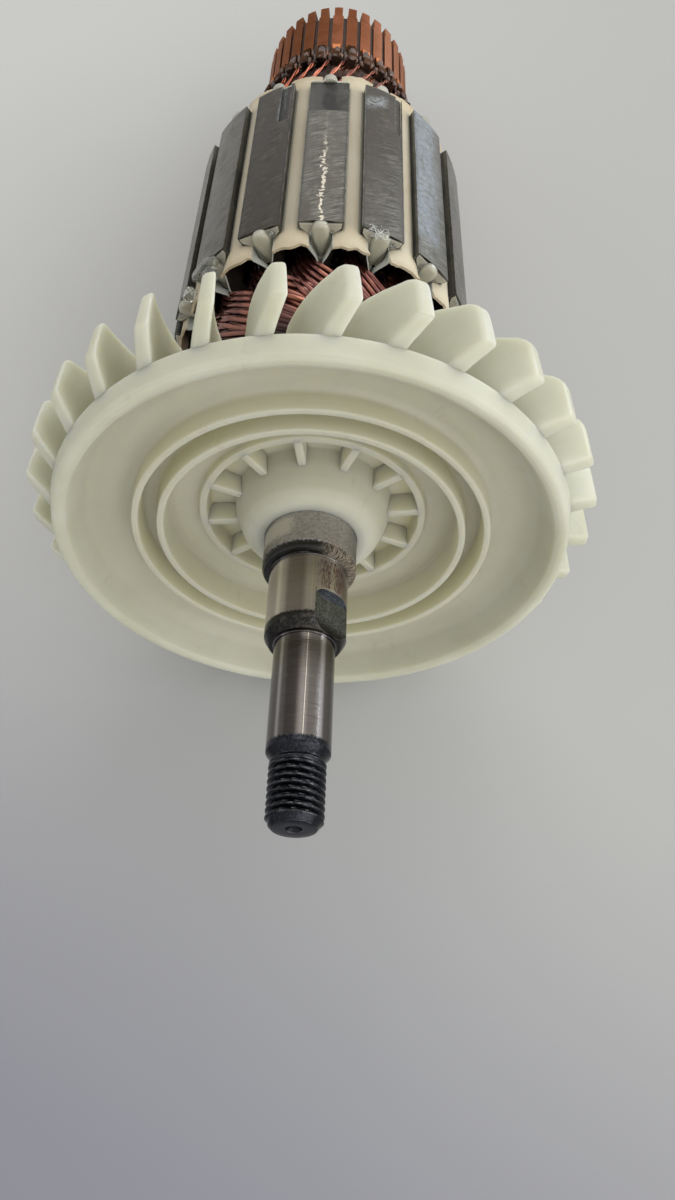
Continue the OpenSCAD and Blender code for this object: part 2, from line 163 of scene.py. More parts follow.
def spin(profile, steps, loop=False, shape=None):
    # turns a profile of (station, radius) about the shaft; shape may change a radius by its angle
    points, faces, rows = [], [], []
    for z, r in profile:
        if r < 1e-6 and not loop:
            rows.append([len(points)])
            points.append(place(0, 0, z))
            continue
        rows.append(list(range(len(points), len(points) + steps)))
        for k in range(steps):
            angle = 360 * k / steps
            points.append(place(shape(z, r, angle) if shape else r, angle, z))
    for a, b in list(zip(rows, rows[1:])) + ([(rows[-1], rows[0])] if loop else []):
        for k in range(steps):
            n = (k + 1) % steps
            if len(a) == 1:
                faces.append((a[0], b[k], b[n]))
            elif len(b) == 1:
                faces.append((a[k], b[0], a[n]))
            else:
                faces.append((a[k], b[k], b[n], a[n]))
    return points, faces


def tube(points, faces, path, radius, sides):
    # sweeps a round wire of a radius in mm along a path of points
    rings, normal = [], None
    for i, spot in enumerate(path):
        ahead = (path[min(i + 1, len(path) - 1)] - path[max(i - 1, 0)]).normalized()
        normal = (ahead.orthogonal() if normal is None else normal - ahead * normal.dot(ahead)).normalized()
        other = ahead.cross(normal)
        turns = [2 * math.pi * k / sides for k in range(sides)]
        rings.append([spot + (normal * math.cos(t) + other * math.sin(t)) * radius * mm for t in turns])
    addRun(points, faces, rings)


def cover(piece, material):
    piece.data.materials.clear()
    piece.data.materials.append(material)


def ballOf(subdivisions):
    ball = bmesh.new()
    bmesh.ops.create_icosphere(ball, subdivisions=subdivisions, radius=1.0)
    shape, skin = [v.co.copy() for v in ball.verts], [tuple(v.index for v in f.verts) for f in ball.faces]
    ball.free()
    return shape, skin


def applied(piece):
    # bakes a piece's modifiers into its mesh
    mesh = bpy.data.meshes.new_from_object(piece.evaluated_get(bpy.context.evaluated_depsgraph_get()))
    piece.modifiers.clear()
    piece.data = mesh
    return piece


def roundEdges(piece, width):
    bevel = piece.modifiers.new("softEdges", "BEVEL")
    bevel.width, bevel.segments, bevel.limit_method, bevel.angle_limit = width * mm, 3, "ANGLE", math.radians(50)
    return applied(piece)


def paint(code):
    # a colour written as in a paint chart, given back as Blender's linear values
    values = [int(code[i:i + 2], 16) / 255 for i in (0, 2, 4)]
    return tuple(v / 12.92 if v <= 0.04045 else ((v + 0.055) / 1.055) ** 2.4 for v in values) + (1.0,)


class reading:
    # a value between two nodes, which can be reckoned with like a number
    def __init__(self, bench, socket):
        self.bench, self.socket = bench, socket

    def __add__(self, other):
        return self.bench.math("ADD", self, other)

    def __sub__(self, other):
        return self.bench.math("SUBTRACT", self, other)

    def __rsub__(self, other):
        return self.bench.math("SUBTRACT", other, self)

    def __mul__(self, other):
        return self.bench.math("MULTIPLY", self, other)

    __radd__, __rmul__ = __add__, __mul__

    def __truediv__(self, other):
        return self.bench.math("DIVIDE", self, other)

    def __abs__(self):
        return self.bench.math("ABSOLUTE", self)

    def ramp(self, low, high, outLow=0.0, outHigh=1.0):
        feeds = dict(enumerate((self, low, high, outLow, outHigh)))
        return self.bench.add("ShaderNodeMapRange", feeds, interpolation_type="SMOOTHSTEP")[0]

    def band(self, low, high, soft):
        # 1 between low and high, fading over soft on both sides
        return self.ramp(low - soft, low + soft) * self.ramp(high - soft, high + soft, 1.0, 0.0)


class nodeBench:
    # lays out nodes in one tree, left to right
    def __init__(self, tree):
        self.tree, self.column = tree, 0

    def feed(self, socket, value):
        if isinstance(value, reading):
            self.tree.links.new(value.socket, socket)
        else:
            socket.default_value = paint(value) if isinstance(value, str) else value

    def add(self, kind, feeds=None, **settings):
        # adds a node, and gives back its outputs by name and by number
        node = self.tree.nodes.new(kind)
        node.location = (self.column * 180 - 1600, -(self.column % 4) * 160)
        self.column += 1
        for key, value in settings.items():
            setattr(node, key, value)
        for key, value in (feeds or {}).items():
            self.feed(node.inputs[key], value)
        return {key: reading(self, socket) for n, socket in enumerate(node.outputs) for key in (n, socket.name)}

    def math(self, operation, *values):
        return self.add("ShaderNodeMath", dict(enumerate(values)), operation=operation)[0]

    def most(self, *values):
        highest = values[0]
        for value in values[1:]:
            highest = self.math("MAXIMUM", highest, value)
        return highest

    def dot(self, a, b):
        return self.add("ShaderNodeVectorMath", {0: a, 1: b}, operation="DOT_PRODUCT")["Value"]

    def mix(self, factor, a, b, blend="MIX"):
        # colours may be readings or paint codes
        feeds = {0: factor, 6: a, 7: b}
        return self.add("ShaderNodeMix", feeds, data_type="RGBA", blend_type=blend, clamp_factor=True)[2]

    def over(self, body, *coats):
        # lays colours over the body one by one, each by its own mask
        for mask, colour in coats:
            body = self.mix(mask, body, colour)
        return body

    def joined(self, x, y, z):
        return self.add("ShaderNodeCombineXYZ", {0: x, 1: y, 2: z})[0]

    def spot(self):
        return self.add("ShaderNodeTexCoord")["Object"]

    def noise(self, spot, scale, detail=2.0, roughness=0.5, seed=None):
        feeds = {"Vector": spot, "Scale": scale, "Detail": detail, "Roughness": roughness}
        if seed is None:
            return self.add("ShaderNodeTexNoise", feeds)["Fac"]
        return self.add("ShaderNodeTexNoise", {**feeds, "W": seed}, noise_dimensions="4D")["Fac"]

    def wear(self, width, grain):
        return self.group("edgeWear", width=width, grain=grain)["Wear"]

    def dirt(self, speckSize, amount, seed):
        dirt = self.group("speckle", speckSize=speckSize, amount=amount, seed=seed)
        return dirt["Specks"], dirt["Clouds"]

    def group(self, name, **values):
        # places a shared effect; speckSize stands for its input Speck Size
        named = {"".join(" " + c if c.isupper() else c for c in key).title(): value for key, value in values.items()}
        return self.add("ShaderNodeGroup", named, node_tree=groups[name])


# effects that several materials share
groups = {}


def newGroup(name, inputs, outputs, build):
    # build takes the bench and the inputs, and gives back the outputs' values
    tree = bpy.data.node_groups.new(name, "ShaderNodeTree")
    for label, value in inputs.items():
        tree.interface.new_socket(label, in_out="INPUT", socket_type="NodeSocketFloat").default_value = value
    for label in outputs:
        kind = "NodeSocketVector" if label == "Unrolled" else "NodeSocketFloat"
        tree.interface.new_socket(label, in_out="OUTPUT", socket_type=kind)
    bench = nodeBench(tree)
    given, out = bench.add("NodeGroupInput"), tree.nodes.new("NodeGroupOutput")
    for label, value in zip(outputs, build(bench, given)):
        bench.feed(out.inputs[label], value)
    groups[name] = tree


def shaftPlace(bench, _):
    # where a point lies on the shaft: radius, angle from the top in degrees, station in mm
    shifted = bench.add("ShaderNodeVectorMath", {0: bench.spot(), 1: tuple(lip)}, operation="SUBTRACT")[0]
    side, height, station = (bench.dot(shifted, tuple(way)) * 1000.0 for way in ((1, 0, 0), upward, along))
    radius = bench.math("SQRT", side * side + height * height)
    angle = bench.math("ARCTAN2", side, height) * math.degrees(1)
    return radius, angle, station, bench.joined(angle, station, radius)


def speckle(bench, given):
    # small dirt specks and soft clouds, over any surface
    spot = bench.spot()
    feeds = {"Vector": spot, "Scale": 260.0, "W": given["Seed"]}
    cells = bench.add("ShaderNodeTexVoronoi", feeds, voronoi_dimensions="4D")
    rare = bench.add("ShaderNodeSeparateColor", {0: cells["Color"]})[0]
    chosen = bench.math("LESS_THAN", rare, given["Amount"] * 0.1)
    near = bench.math("LESS_THAN", cells["Distance"], given["Speck Size"] * 0.26)
    return chosen * near, bench.noise(spot, 55.0, 4.0, 0.6, given["Seed"])


def turning(bench, given):
    # fine lines left by a lathe or a grinder, round the shaft, and an even grain
    where = bench.group("shaftPlace")
    station, angle = where["Station"], where["Angle"]
    waver = bench.noise(where["Unrolled"], 0.06) * given["Waver"]
    lineSpot = bench.joined(station / given["Pitch"] + waver, angle * 0.02, 0.0)
    evenSpot = bench.joined(angle * 0.12, station, where["Radius"])
    return bench.noise(lineSpot, 1.0, 3.0, 0.7), bench.noise(evenSpot, 2.6, 5.0, 0.6)


def edgeWear(bench, given):
    # where an edge has been rubbed, broken up by grain
    soft = bench.add("ShaderNodeBevel", {"Radius": given["Width"]}, samples=4)[0]
    edge = bench.dot(soft, bench.add("ShaderNodeNewGeometry")["Normal"]).ramp(0.99, 0.80)
    return (edge * bench.noise(bench.spot(), given["Grain"], 3.0).ramp(0.35, 0.6),)


newGroup("shaftPlace", {}, ("Radius", "Angle", "Station", "Unrolled"), shaftPlace)
newGroup("speckle", {"Speck Size": 0.4, "Amount": 0.3, "Seed": 0.0}, ("Specks", "Clouds"), speckle)
newGroup("turning", {"Pitch": 0.2, "Waver": 0.3}, ("Lines", "Fine"), turning)
newGroup("edgeWear", {"Width": 0.0003, "Grain": 400.0}, ("Wear",), edgeWear)


def newMaterial(name):
    # a bench that lays out a material's nodes
    material = bpy.data.materials.new(name)
    material.use_nodes = True
    nodes = material.node_tree.nodes
    nodes["Principled BSDF"].location, nodes["Material Output"].location = (600, 0), (900, 0)
    bench = nodeBench(material.node_tree)
    bench.material = material
    return bench


def finished(bench, values, height, strength, depth):
    # feeds the shader, and turns height into a bump of that strength and depth
    shader = bench.tree.nodes["Principled BSDF"]
    bump = bench.add("ShaderNodeBump", {"Height": height, "Strength": strength, "Distance": depth})[0]
    for name, value in {**values, "Normal": bump}.items():
        bench.feed(shader.inputs[name], value)
    return bench.material


print("armature: shading groups ready")

# the camera, the floor and the light
stage = dict(lens=27.9, eye=(0.00229, -0.12337, 0.17400), turn=(0.419874, -0.033890, 0.036768),
    floorColour="c7c7c4", rightShadeColour="b6b6b4", shadeColour="8a8b95", worldLight=1.08, floorReach=6)
# lamps: place in metres, width, height, power in watts and tint
lamps = {"ceilingLamp": ((0.05, 0.85, 1.05), 0.8, 0.8, 2.0, (1.0, 0.99, 0.96)),
    "roomLamp": ((0.75, -1.05, 0.62), 1.1, 1.1, 4.2, (1.0, 0.98, 0.96)),
    "windowLamp": ((1.00, 1.05, 0.30), 0.5, 0.6, 3.4, (0.80, 0.90, 1.0)),
    "stripLamp": ((1.12, 0.10, 0.50), 0.9, 0.11, 2.0, (0.96, 0.98, 1.0)),
    "leftStrip": ((-1.08, 0.12, 0.60), 0.9, 0.14, 0.4, (1.0, 0.98, 0.95))}

camera = newObject("camera", bpy.data.cameras.new("camera"))
camera.data.sensor_fit, camera.data.sensor_width, camera.data.lens = "AUTO", 36.0, stage["lens"]
camera.data.clip_start, camera.data.clip_end = 0.005, 20
camera.rotation_mode = "XYZ"
camera.location, camera.rotation_euler = stage["eye"], stage["turn"]
bpy.context.scene.camera = camera
bpy.context.scene.view_settings.view_transform = "Standard"

reach = stage["floorReach"]
floorMesh = bpy.data.meshes.new("floor")
floorMesh.from_pydata([(x, y, 0) for x, y in ((-reach, -reach), (reach, -reach), (reach, reach), (-reach, reach))], [],
    [(0, 1, 2, 3)])
floor = newObject("floor", floorMesh)


def makePaperFloor():
    bench = newMaterial("paperFloor")
    spot = bench.spot()
    parts = bench.add("ShaderNodeSeparateXYZ", {0: spot})
    slant = parts[0] * 0.5 + parts[1]  # a soft shade lies near the front left
    away = bench.add("ShaderNodeVectorMath", {0: spot}, operation="LENGTH")["Value"]
    shade = slant.ramp(-0.03, -0.19) * away.ramp(0.46, 0.20)
    # painted shade: the floor is painted darker towards the right, and the shade colour paints a soft shadow near the
    # front left
    paper = bench.mix(parts[0].ramp(-0.10, 0.12), stage["floorColour"], stage["rightShadeColour"])
    values = {"Base Color": bench.mix(shade, paper, stage["shadeColour"]), "Roughness": 0.9, "Specular IOR Level": 0.2}
    return finished(bench, values, bench.noise(spot, 30.0, 6.0), 0.15, 0.001)


floor.data.materials.append(makePaperFloor())

world = bpy.data.worlds.new("room")
bpy.context.scene.world = world
world.use_nodes = True
room = nodeBench(world.node_tree)
direction = room.add("ShaderNodeSeparateXYZ", {0: room.add("ShaderNodeTexCoord")["Generated"]})
skyLevel = direction[2].ramp(-0.3, 0.7, 0.80, 1.0) * direction[0].ramp(-0.6, 0.1, 0.60, 1.0)
skyLevel = skyLevel * direction[2].ramp(0.90, 0.98, 1.0, 0.5)
skyColour = room.mix(skyLevel, (0.88, 0.90, 0.95, 1), (1.0, 0.99, 0.97, 1))
seen = room.add("ShaderNodeLightPath")["Is Camera Ray"]
background = world.node_tree.nodes["Background"]
room.feed(background.inputs["Color"], room.mix(seen, skyColour, (0.52, 0.52, 0.51, 1)))
room.feed(background.inputs["Strength"], skyLevel * stage["worldLight"])

for name, (spot, width, height, power, tint) in lamps.items():
    data = bpy.data.lights.new(name, "AREA")
    data.shape, data.size, data.size_y, data.energy, data.color = "RECTANGLE", width, height, power, tint
    lamp = newObject(name, data)
    lamp.location = spot
    lamp.rotation_euler = (Vector((0, 0, 0.03)) - Vector(spot)).to_track_quat("-Z", "Y").to_euler()
print("armature: stage ready")

# the shaft, all turned steel
shaft = dict(collarRadius=7.2, collarFront=-3.25, bearingRadius=6.0, gearStation=-16.55, gearRadius=4.45,
    threadRadius=3.9, threadStation=-34.75, frontStation=-44.05, pitch=1.0, threadDepth=0.58,
    flatAngle=46.0, flatDepth=1.0, flatLength=6.6, flatCorner=1.2, journalRadius=4.0, journalStation=152.45,
    rearStation=163.45, coreSeat=6.5, coreSeatEnd=119.05, hubEnd=24.55, commSeat=6.0, commEnd=149.25)


def threadForm(z, r, angle):
    s = shaft
    start, end = s["frontStation"] + 0.3, s["threadStation"] - 0.45
    if z < start or z > end or r < 3.0:
        return r
    phase = (z / s["pitch"] + angle / 360) % 1.0
    groove = max(0.0, 1 - abs(phase - 0.5) * 2.5) ** 0.9
    fade = min(1.0, (z - start) / 0.9 + 0.25) * min(1.0, (end - z) / 0.9)
    return r - s["threadDepth"] * groove * max(fade, 0.0)


def shaftProfile():
    # (station, radius) from the threaded end to the rear, each step given from its own shoulder
    s = shaft
    front, thread, gear, collarFront = s["frontStation"], s["threadStation"], s["gearStation"], s["collarFront"]
    crest, pinion, seat, collar = s["threadRadius"], s["gearRadius"], s["bearingRadius"], s["collarRadius"]
    hub, end, journal, rear = s["hubEnd"], s["commEnd"], s["journalStation"], s["rearStation"]

    def steps(start, *places):
        return [(start + z, r) for z, r in places]

    def straight(start, finish, radius, rows):
        return [(start + (finish - start) * k / rows, radius) for k in range(rows + 1)]

    return (steps(front, (2.6, 0.0), (2.2, 0.5), (1.1, 0.55), (0, 1.15), (0, 1.2), (0, 1.8), (0, crest - 1.0),
            (0.05, crest - 0.85), (0.45, crest - 0.42), (0.9, crest - 0.05))
        + straight(front + 0.95, thread - 0.5, crest, 96)
        + steps(thread, (-0.3, 3.75), (-0.05, 3.62), (0.1, 3.66), (0.9, pinion - 0.22), (1.05, pinion - 0.08),
            (1.2, pinion))
        + straight(thread + 1.25, gear - 0.25, pinion, 11)
        + steps(gear, (-0.08, pinion + 0.03), (-0.02, pinion + 0.12), (0, pinion + 0.3), (0, seat - 0.95),
            (0.02, seat - 0.85), (0.1, seat - 0.72), (1.15, seat - 0.06))
        + straight(gear + 1.3, collarFront - 0.55, seat, 9)
        + steps(collarFront, (-0.5, seat - 0.08), (-0.3, seat - 0.08), (-0.28, 6.6), (-0.2, 6.9), (0.05, 7.12),
            (0.3, collar), (0.5, collar), (0.6, 6.95), (0.75, 6.88), (0.95, 6.92), (1.1, collar - 0.02))
        + straight(collarFront + 1.1, hub, collar, 7)[1:]
        + [(hub, s["coreSeat"]), (s["coreSeatEnd"], s["coreSeat"]), (s["coreSeatEnd"], s["commSeat"])]
        + [(end, s["commSeat"]), (end, 5.12), (end + 0.2, 5.0), (journal - 0.3, 5.0), (journal, 4.7), (journal, 4.1)]
        + [(journal + 0.1, s["journalRadius"]), (157.5, s["journalRadius"])]
        + steps(rear, (-0.9, s["journalRadius"]), (-0.7, 3.92), (-0.08, 3.28), (0, 3.15), (0, 1.2), (-1.1, 0.55),
            (-2.2, 0.5), (-2.6, 0.0)))


def makeShaft():
    s = shaft
    points, faces = spin(shaftProfile(), 128, shape=threadForm)
    piece = addPiece("steelShaft", points, faces, "steel", replaced=("shaft",), smooth=None)
    # spanner flat: a cutter with round corners behind, open in front
    floorRadius, corner, gear = s["bearingRadius"] - s["flatDepth"], s["flatCorner"], s["gearStation"]
    half, back = math.sqrt(s["bearingRadius"] ** 2 - floorRadius ** 2), gear + s["flatLength"]
    outline = [(gear - 2.0, -half - 0.02), (gear - 2.0, half + 0.02)]
    for side in (1, -1):
        for k in range(7):
            turn = math.radians(15 * k if side > 0 else 90 - 15 * k)
            wide = half - corner + corner * math.cos(turn) + 0.02
            outline.append((back - corner + corner * math.sin(turn), side * wide))
    middle = math.radians(s["flatAngle"])
    outward = upward * math.cos(middle) + Vector((math.sin(middle), 0, 0))
    across = Vector((math.cos(middle), 0, 0)) - upward * math.sin(middle)
    points, faces = [], []
    addRun(points, faces, [[lip + (along * z + across * w + outward * r) * mm for z, w in outline]
        for r in (floorRadius, s["bearingRadius"] + 2)])
    cutterMesh = bpy.data.meshes.new("flatCutter")
    cutterMesh.from_pydata(points, [], faces)
    faceOutwards(cutterMesh)
    cutter = newObject("flatCutter", cutterMesh)
    cut = piece.modifiers.new("flat", "BOOLEAN")
    cut.operation, cut.solver, cut.object = "DIFFERENCE", "EXACT", cutter
    applied(piece)
    bpy.data.objects.remove(cutter)
    shadeSmooth(piece.data, 32)
    return piece


def makeSteel():
    # bright ground seats, black oxide on thread and shoulders, a rough grey collar with dried grease
    bench = newMaterial("shaftSteel")
    seat = shaft["bearingRadius"]
    where = bench.group("shaftPlace")
    station, angle, radius = where["Station"], where["Angle"], where["Radius"]
    turned = bench.group("turning", pitch=0.12, waver=0.6)
    lines, fine = turned["Lines"], turned["Fine"]
    wear = bench.wear(0.00018, 900.0)
    clouds = bench.dirt(0.7, 0.8, 3.0)[1]
    onBearing, grain = radius.ramp(4.5, 4.7), lines.ramp(0.3, 0.7)
    ground = bench.mix(onBearing, bench.mix(grain, "5f5a57", "736e6a"), bench.mix(grain, "b8b1b9", "cdc6ce"))
    ground = bench.over(ground, (clouds.ramp(0.50, 0.78, 0.0, 0.25), "857870"))
    black = bench.mix(fine.ramp(0.35, 0.7), "242529", "3c3e44")
    collar = bench.mix(fine.ramp(0.28, 0.60), "807c76", "a29e97")
    # painted shade: the collar is painted darker towards its sides, away from the top
    collar = bench.mix(abs(angle).ramp(38.0, 80.0, 0.0, 0.8), collar, "45423d")
    # oxide band before the gear's shoulder, with a ragged edge
    ragged = station + (fine - 0.5) * 0.9
    shoulder = ragged.band(-17.2, -14.0, 0.25) * onBearing
    flatPlane = radius * bench.math("COSINE", (angle - shaft["flatAngle"]) * math.radians(1))
    offFlat = abs(flatPlane - (seat - shaft["flatDepth"]))
    onFlat = bench.math("LESS_THAN", offFlat, 0.03) * station.band(-17.0, -9.8, 0.02)
    runOut = radius.ramp(seat - 0.02, seat - 0.09) * station.band(-16.2, -6.0, 0.2)
    onFlat = bench.most(onFlat, runOut * angle.band(5.0, 88.0, 1.0))
    dark = bench.most(shoulder, ragged.ramp(-32.4, -32.9), onFlat * 0.92)
    collarZone = ragged.ramp(-2.5, -2.1)
    greaseZone = ragged.band(-3.95, -2.2, 0.12)
    oiled = bench.mix(fine.ramp(0.40, 0.70), "2d2b29", "4a4743")
    body = bench.mix(dark, ground, bench.mix(shoulder, black, oiled))
    mottled = bench.mix(fine.ramp(0.32, 0.66), "4b4f53", "878b90")
    body = bench.mix(onFlat * station.ramp(-16.2, -14.2), body, mottled)
    # painted reflection: bright highlight bands and darker bands run along both seats
    bright = 1.0 - dark
    paintedDarkBands = bench.most(angle.band(-31.0, -3.0, 5.0), angle.ramp(48.0, 64.0))
    body = bench.mix(paintedDarkBands * bright * 0.75, body, "a39e9b", blend="MULTIPLY")
    paintedHighlightBands = bench.most(angle.band(-47.0, -40.0, 4.0), angle.band(33.0, 43.0, 4.0))
    paintedHighlightBands = paintedHighlightBands * bright * bench.mix(onBearing, (0.3, 0.3, 0.3, 1), (0.75, 0.75, 0.75, 1))
    body = bench.mix(paintedHighlightBands, body, "f4f3f4")
    # a fine pale straight line along both seats
    body = bench.mix(angle.band(6.1, 7.1, 0.3) * bright * 0.5, body, "e4ddcf")
    # small nicks low on the bearing seat
    nicks = bench.noise(where["Unrolled"], 1.9).ramp(0.66, 0.69) * bright * clouds.ramp(0.5, 0.6)
    body = bench.over(body, (nicks * 0.8, "2c2624"), (collarZone, collar), (greaseZone, "16150f"))
    # tan dried deposit low on the right of the groove
    lumps = bench.noise(where["Unrolled"], 0.9, 5.0, 0.7)
    deposit = angle.band(22.0, 140.0, 14.0) * ragged.band(-3.75, -2.0, 0.2) * lumps.ramp(0.44, 0.54)
    # epoxy smeared on the collar's upper left, where the fan was glued
    smear = (angle + lumps * 30.0).band(-62.0, -8.0, 6.0) * (ragged + lumps * 2.0).band(0.4, 3.5, 0.4)
    # rust spots beyond the flat
    rust = (angle + lumps * 40.0).band(38.0, 80.0, 5.0) * station.band(-9.2, -5.0, 0.8)
    rust = (rust * bench.noise(where["Unrolled"], 1.1, 4.0, 0.7).ramp(0.50, 0.53)).ramp(0.03, 0.2)
    body = bench.over(body, (deposit, "9c8f7c"), (smear * 0.75, "c9c4b6"), (rust, "3f1a14"), (wear * 0.6, "b9b9b8"))
    crusted = bench.most(deposit, rust)
    height = lines * 0.35 + fine * (bench.most(collarZone, greaseZone) * 2.5 + 0.15) + deposit * 4.0
    return finished(bench, {"Base Color": body,
        "Roughness": fine.ramp(0.3, 0.7, 0.10, 0.18) + dark * 0.09 + collarZone * 0.22 + crusted * 0.5,
        "Metallic": 1.0 - bench.most(crusted, bench.most(greaseZone, collarZone) * 0.65)}, height, 0.5, 0.00006)


cover(makeShaft(), makeSteel())
print("armature: shaft turned")

# the fan, moulded in nylon
fan = dict(blades=30, sweep=0.885, outerRadius=44.0, firstEdge=4.45, foot=1.95, inwardGain=0.045, draft=0.055,
    tipRound=2.4, ribs=12, ribTurn=-8.35, edgeRound=0.5, ribRound=0.22)
# (station, radius, corner radius) round the disc's half section
fanSection = ((3.15, 7.22, 0.15), (3.15, 8.6, 1.6), (3.7, 9.8, 2.2), (4.75, 10.7, 3.0), (6.35, 11.4, 4.0),
    (8.45, 12.2, 6.0), (11.35, 12.55, 0.5), (11.55, 16.6, 0.6), (7.85, 16.85, 0.22), (7.85, 17.95, 0.3),
    (9.2, 18.1, 0.6), (9.05, 22.4, 0.7), (8.0, 22.85, 0.5), (3.15, 23.0, 0.28), (3.15, 24.05, 0.3),
    (7.4, 24.2, 0.7), (7.35, 26.6, 0.7), (3.0, 26.9, 0.3), (3.0, 27.9, 0.35), (6.2, 28.05, 0.8), (6.75, 29.4, 2.0),
    (6.1, 33.4, 4.0), (4.6, 35.3, 3.0), (2.3, 36.4, 3.0), (0.45, 37.15, 0.8), (0.0, 37.9, 0.8), (0.0, 38.75, 0.7),
    (0.55, 39.25, 0.6), (3.5, 39.9, 0.35), (4.5, 38.7, 0.6), (6.3, 37.4, 1.5), (7.8, 35.6, 1.5), (8.5, 33.3, 2.0),
    (8.9, 28.9, 2.0), (10.45, 24.0, 2.0), (12.45, 19.45, 2.0), (13.35, 13.9, 0.6), (13.95, 13.0, 0.8),
    (23.95, 12.3, 0.4), (24.55, 11.7, 0.3), (24.55, 7.22, 0.1))


def bladeSpot(index, r, z, side, jitter):
    # side 0 is the swept concave face, side 1 the face behind it
    f = fan
    inward = f["outerRadius"] - r
    lean = math.atan(r * f["sweep"] * math.pi / 180)
    thick = f["foot"] + f["inwardGain"] * inward - f["draft"] * (z - 5.8)
    width = math.degrees(thick / (r * math.cos(lean)))
    start = f["firstEdge"] - f["sweep"] * inward
    return place(r, index * 360 / f["blades"] + start + side * width + jitter * (z - 4) / 10, z)


def bladeOutline(step):
    # half section of a blade, walked from the foot out, up the edge and back along the top
    tip = fan["tipRound"]
    flare = [(38.6, 3.35), (39.85, 3.32), (41.2, 4.17), (42.6, 4.93), (44.0, 5.8)]
    edge = [(43.95, 7.8), (43.88, 9.8), (43.8, 11.6)]
    corner = [(43.8 - tip * (1 - math.cos(t)), 11.6 + tip * math.sin(t)) for t in (0.35, 0.7, 1.05, 1.4)]
    top = [(39.3, 15.15), (37.0, 16.1), (34.5, 17.1), (32.0, 18.0), (30.0, 18.7), (28.9, 19.05), (28.1, 18.9)]
    inner = [(27.5, 18.2), (27.0, 16.8), (26.6, 15.0), (26.3, 13.0), (26.1, 11.0), (26.0, 8.6), (30.0, 8.0),
        (33.3, 7.5), (35.6, 6.4), (37.0, 5.0)]
    return flare + edge + corner + [(r, z + step) for r, z in top] + inner


def makeFan():
    random.seed(31)
    disc = addPiece("fanDisc", *spin(soften(fanSection), 300, loop=True), "nylon", replaced=("fan",), smooth=50)
    points, faces, rings = [], [], 5
    middleR, middleZ = 34.5, 11.0  # both sides of a blade shrink in rings towards this place
    for index in range(fan["blades"]):
        outline = bladeOutline(random.uniform(-0.1, 0.1))
        jitter, count = random.uniform(-0.12, 0.12), len(outline)
        for side in (0, 1):
            base = len(points)
            for ring in range(rings):
                t = (rings - ring) / rings
                points += [bladeSpot(index, middleR + (r - middleR) * t, middleZ + (z - middleZ) * t, side, jitter)
                    for r, z in outline]
            points.append(bladeSpot(index, middleR, middleZ, side, jitter))
            for ring in range(rings - 1):
                stitch(faces, base + ring * count, base + (ring + 1) * count, count)
            last, centre = base + (rings - 1) * count, base + rings * count
            faces += [(last + k, last + (k + 1) % count, centre) for k in range(count)]
        stitch(faces, base - rings * count - 1, base, count)
    blades = roundEdges(addPiece("fanBlades", points, faces, "nylon", smooth=None), fan["edgeRound"])
    shadeSmooth(blades.data, 40)
    points, faces = [], []
    for index in range(fan["ribs"]):
        turn = index * 360 / fan["ribs"] + fan["ribTurn"]
        outline = ((-0.62, 7.9), (0.62, 7.9), (0.8, 12.0), (-0.8, 12.0))
        addRun(points, faces, [[beside(r, y, turn, z) for y, z in outline] for r in (11.0, 14.2, 17.3)])
    ribs = roundEdges(addPiece("hubRibs", points, faces, "nylon", smooth=None), fan["ribRound"])
    ribs.data.shade_smooth()
    return disc, blades, ribs


def makeNylon():
    bench = newMaterial("fanNylon")
    where = bench.group("shaftPlace")
    unrolled = where["Unrolled"]
    specks, clouds = bench.dirt(0.55, 0.16, 7.0)
    wear = bench.wear(0.0004, 260.0)
    inside = where["Radius"].band(10.0, 35.5, 1.5)  # the dish is painted yellower than the rim
    handled = bench.noise(unrolled, 0.11, 5.0, 0.7).ramp(0.60, 0.72, 0.0, 0.22)
    kink = where["Station"].band(5.72, 5.88, 0.05) * where["Radius"].ramp(43.7, 43.85)
    kink = kink * bench.noise(unrolled, 0.12).ramp(0.54, 0.66, 0.05, 0.7)
    body = bench.mix(clouds.ramp(0.35, 0.65), "c1c1ae", "cacabb")
    body = bench.over(body, (inside * 0.5, "c2bea7"), (wear * 0.35, "dcdccb"), (handled, "a39d86"), (kink, "7a7466"),
        (specks * 0.85, "4a4038"))
    values = {"Base Color": body, "Roughness": clouds.ramp(0.3, 0.7, 0.36, 0.5), "IOR": 1.5,
        "Subsurface Weight": 0.8, "Subsurface Radius": (0.0050, 0.0047, 0.0032), "Subsurface Scale": 1.0}
    return finished(bench, values, bench.noise(bench.spot(), 900.0, 3.0) * 0.25 + clouds, 0.35, 0.00012)


nylon = makeNylon()
for piece in makeFan():
    cover(piece, nylon)
print("armature: fan moulded")

# the core with its end plates and slot film
core = dict(near=47.55, far=93.55, teeth=16, toothTurn=-1.94, slotTop=25.4, slotFloor=14.3)
slotStep = 360 / core["teeth"]
slotTurn = core["toothTurn"] + slotStep / 2


def slotHalf(r):
    # half a slot's width at radius r
    return 0.95 + 2.25 * (r - core["slotFloor"]) / (core["slotTop"] - core["slotFloor"])


def toothHalf(r):
    return r * math.sin(math.radians(slotStep / 2)) - slotHalf(r)


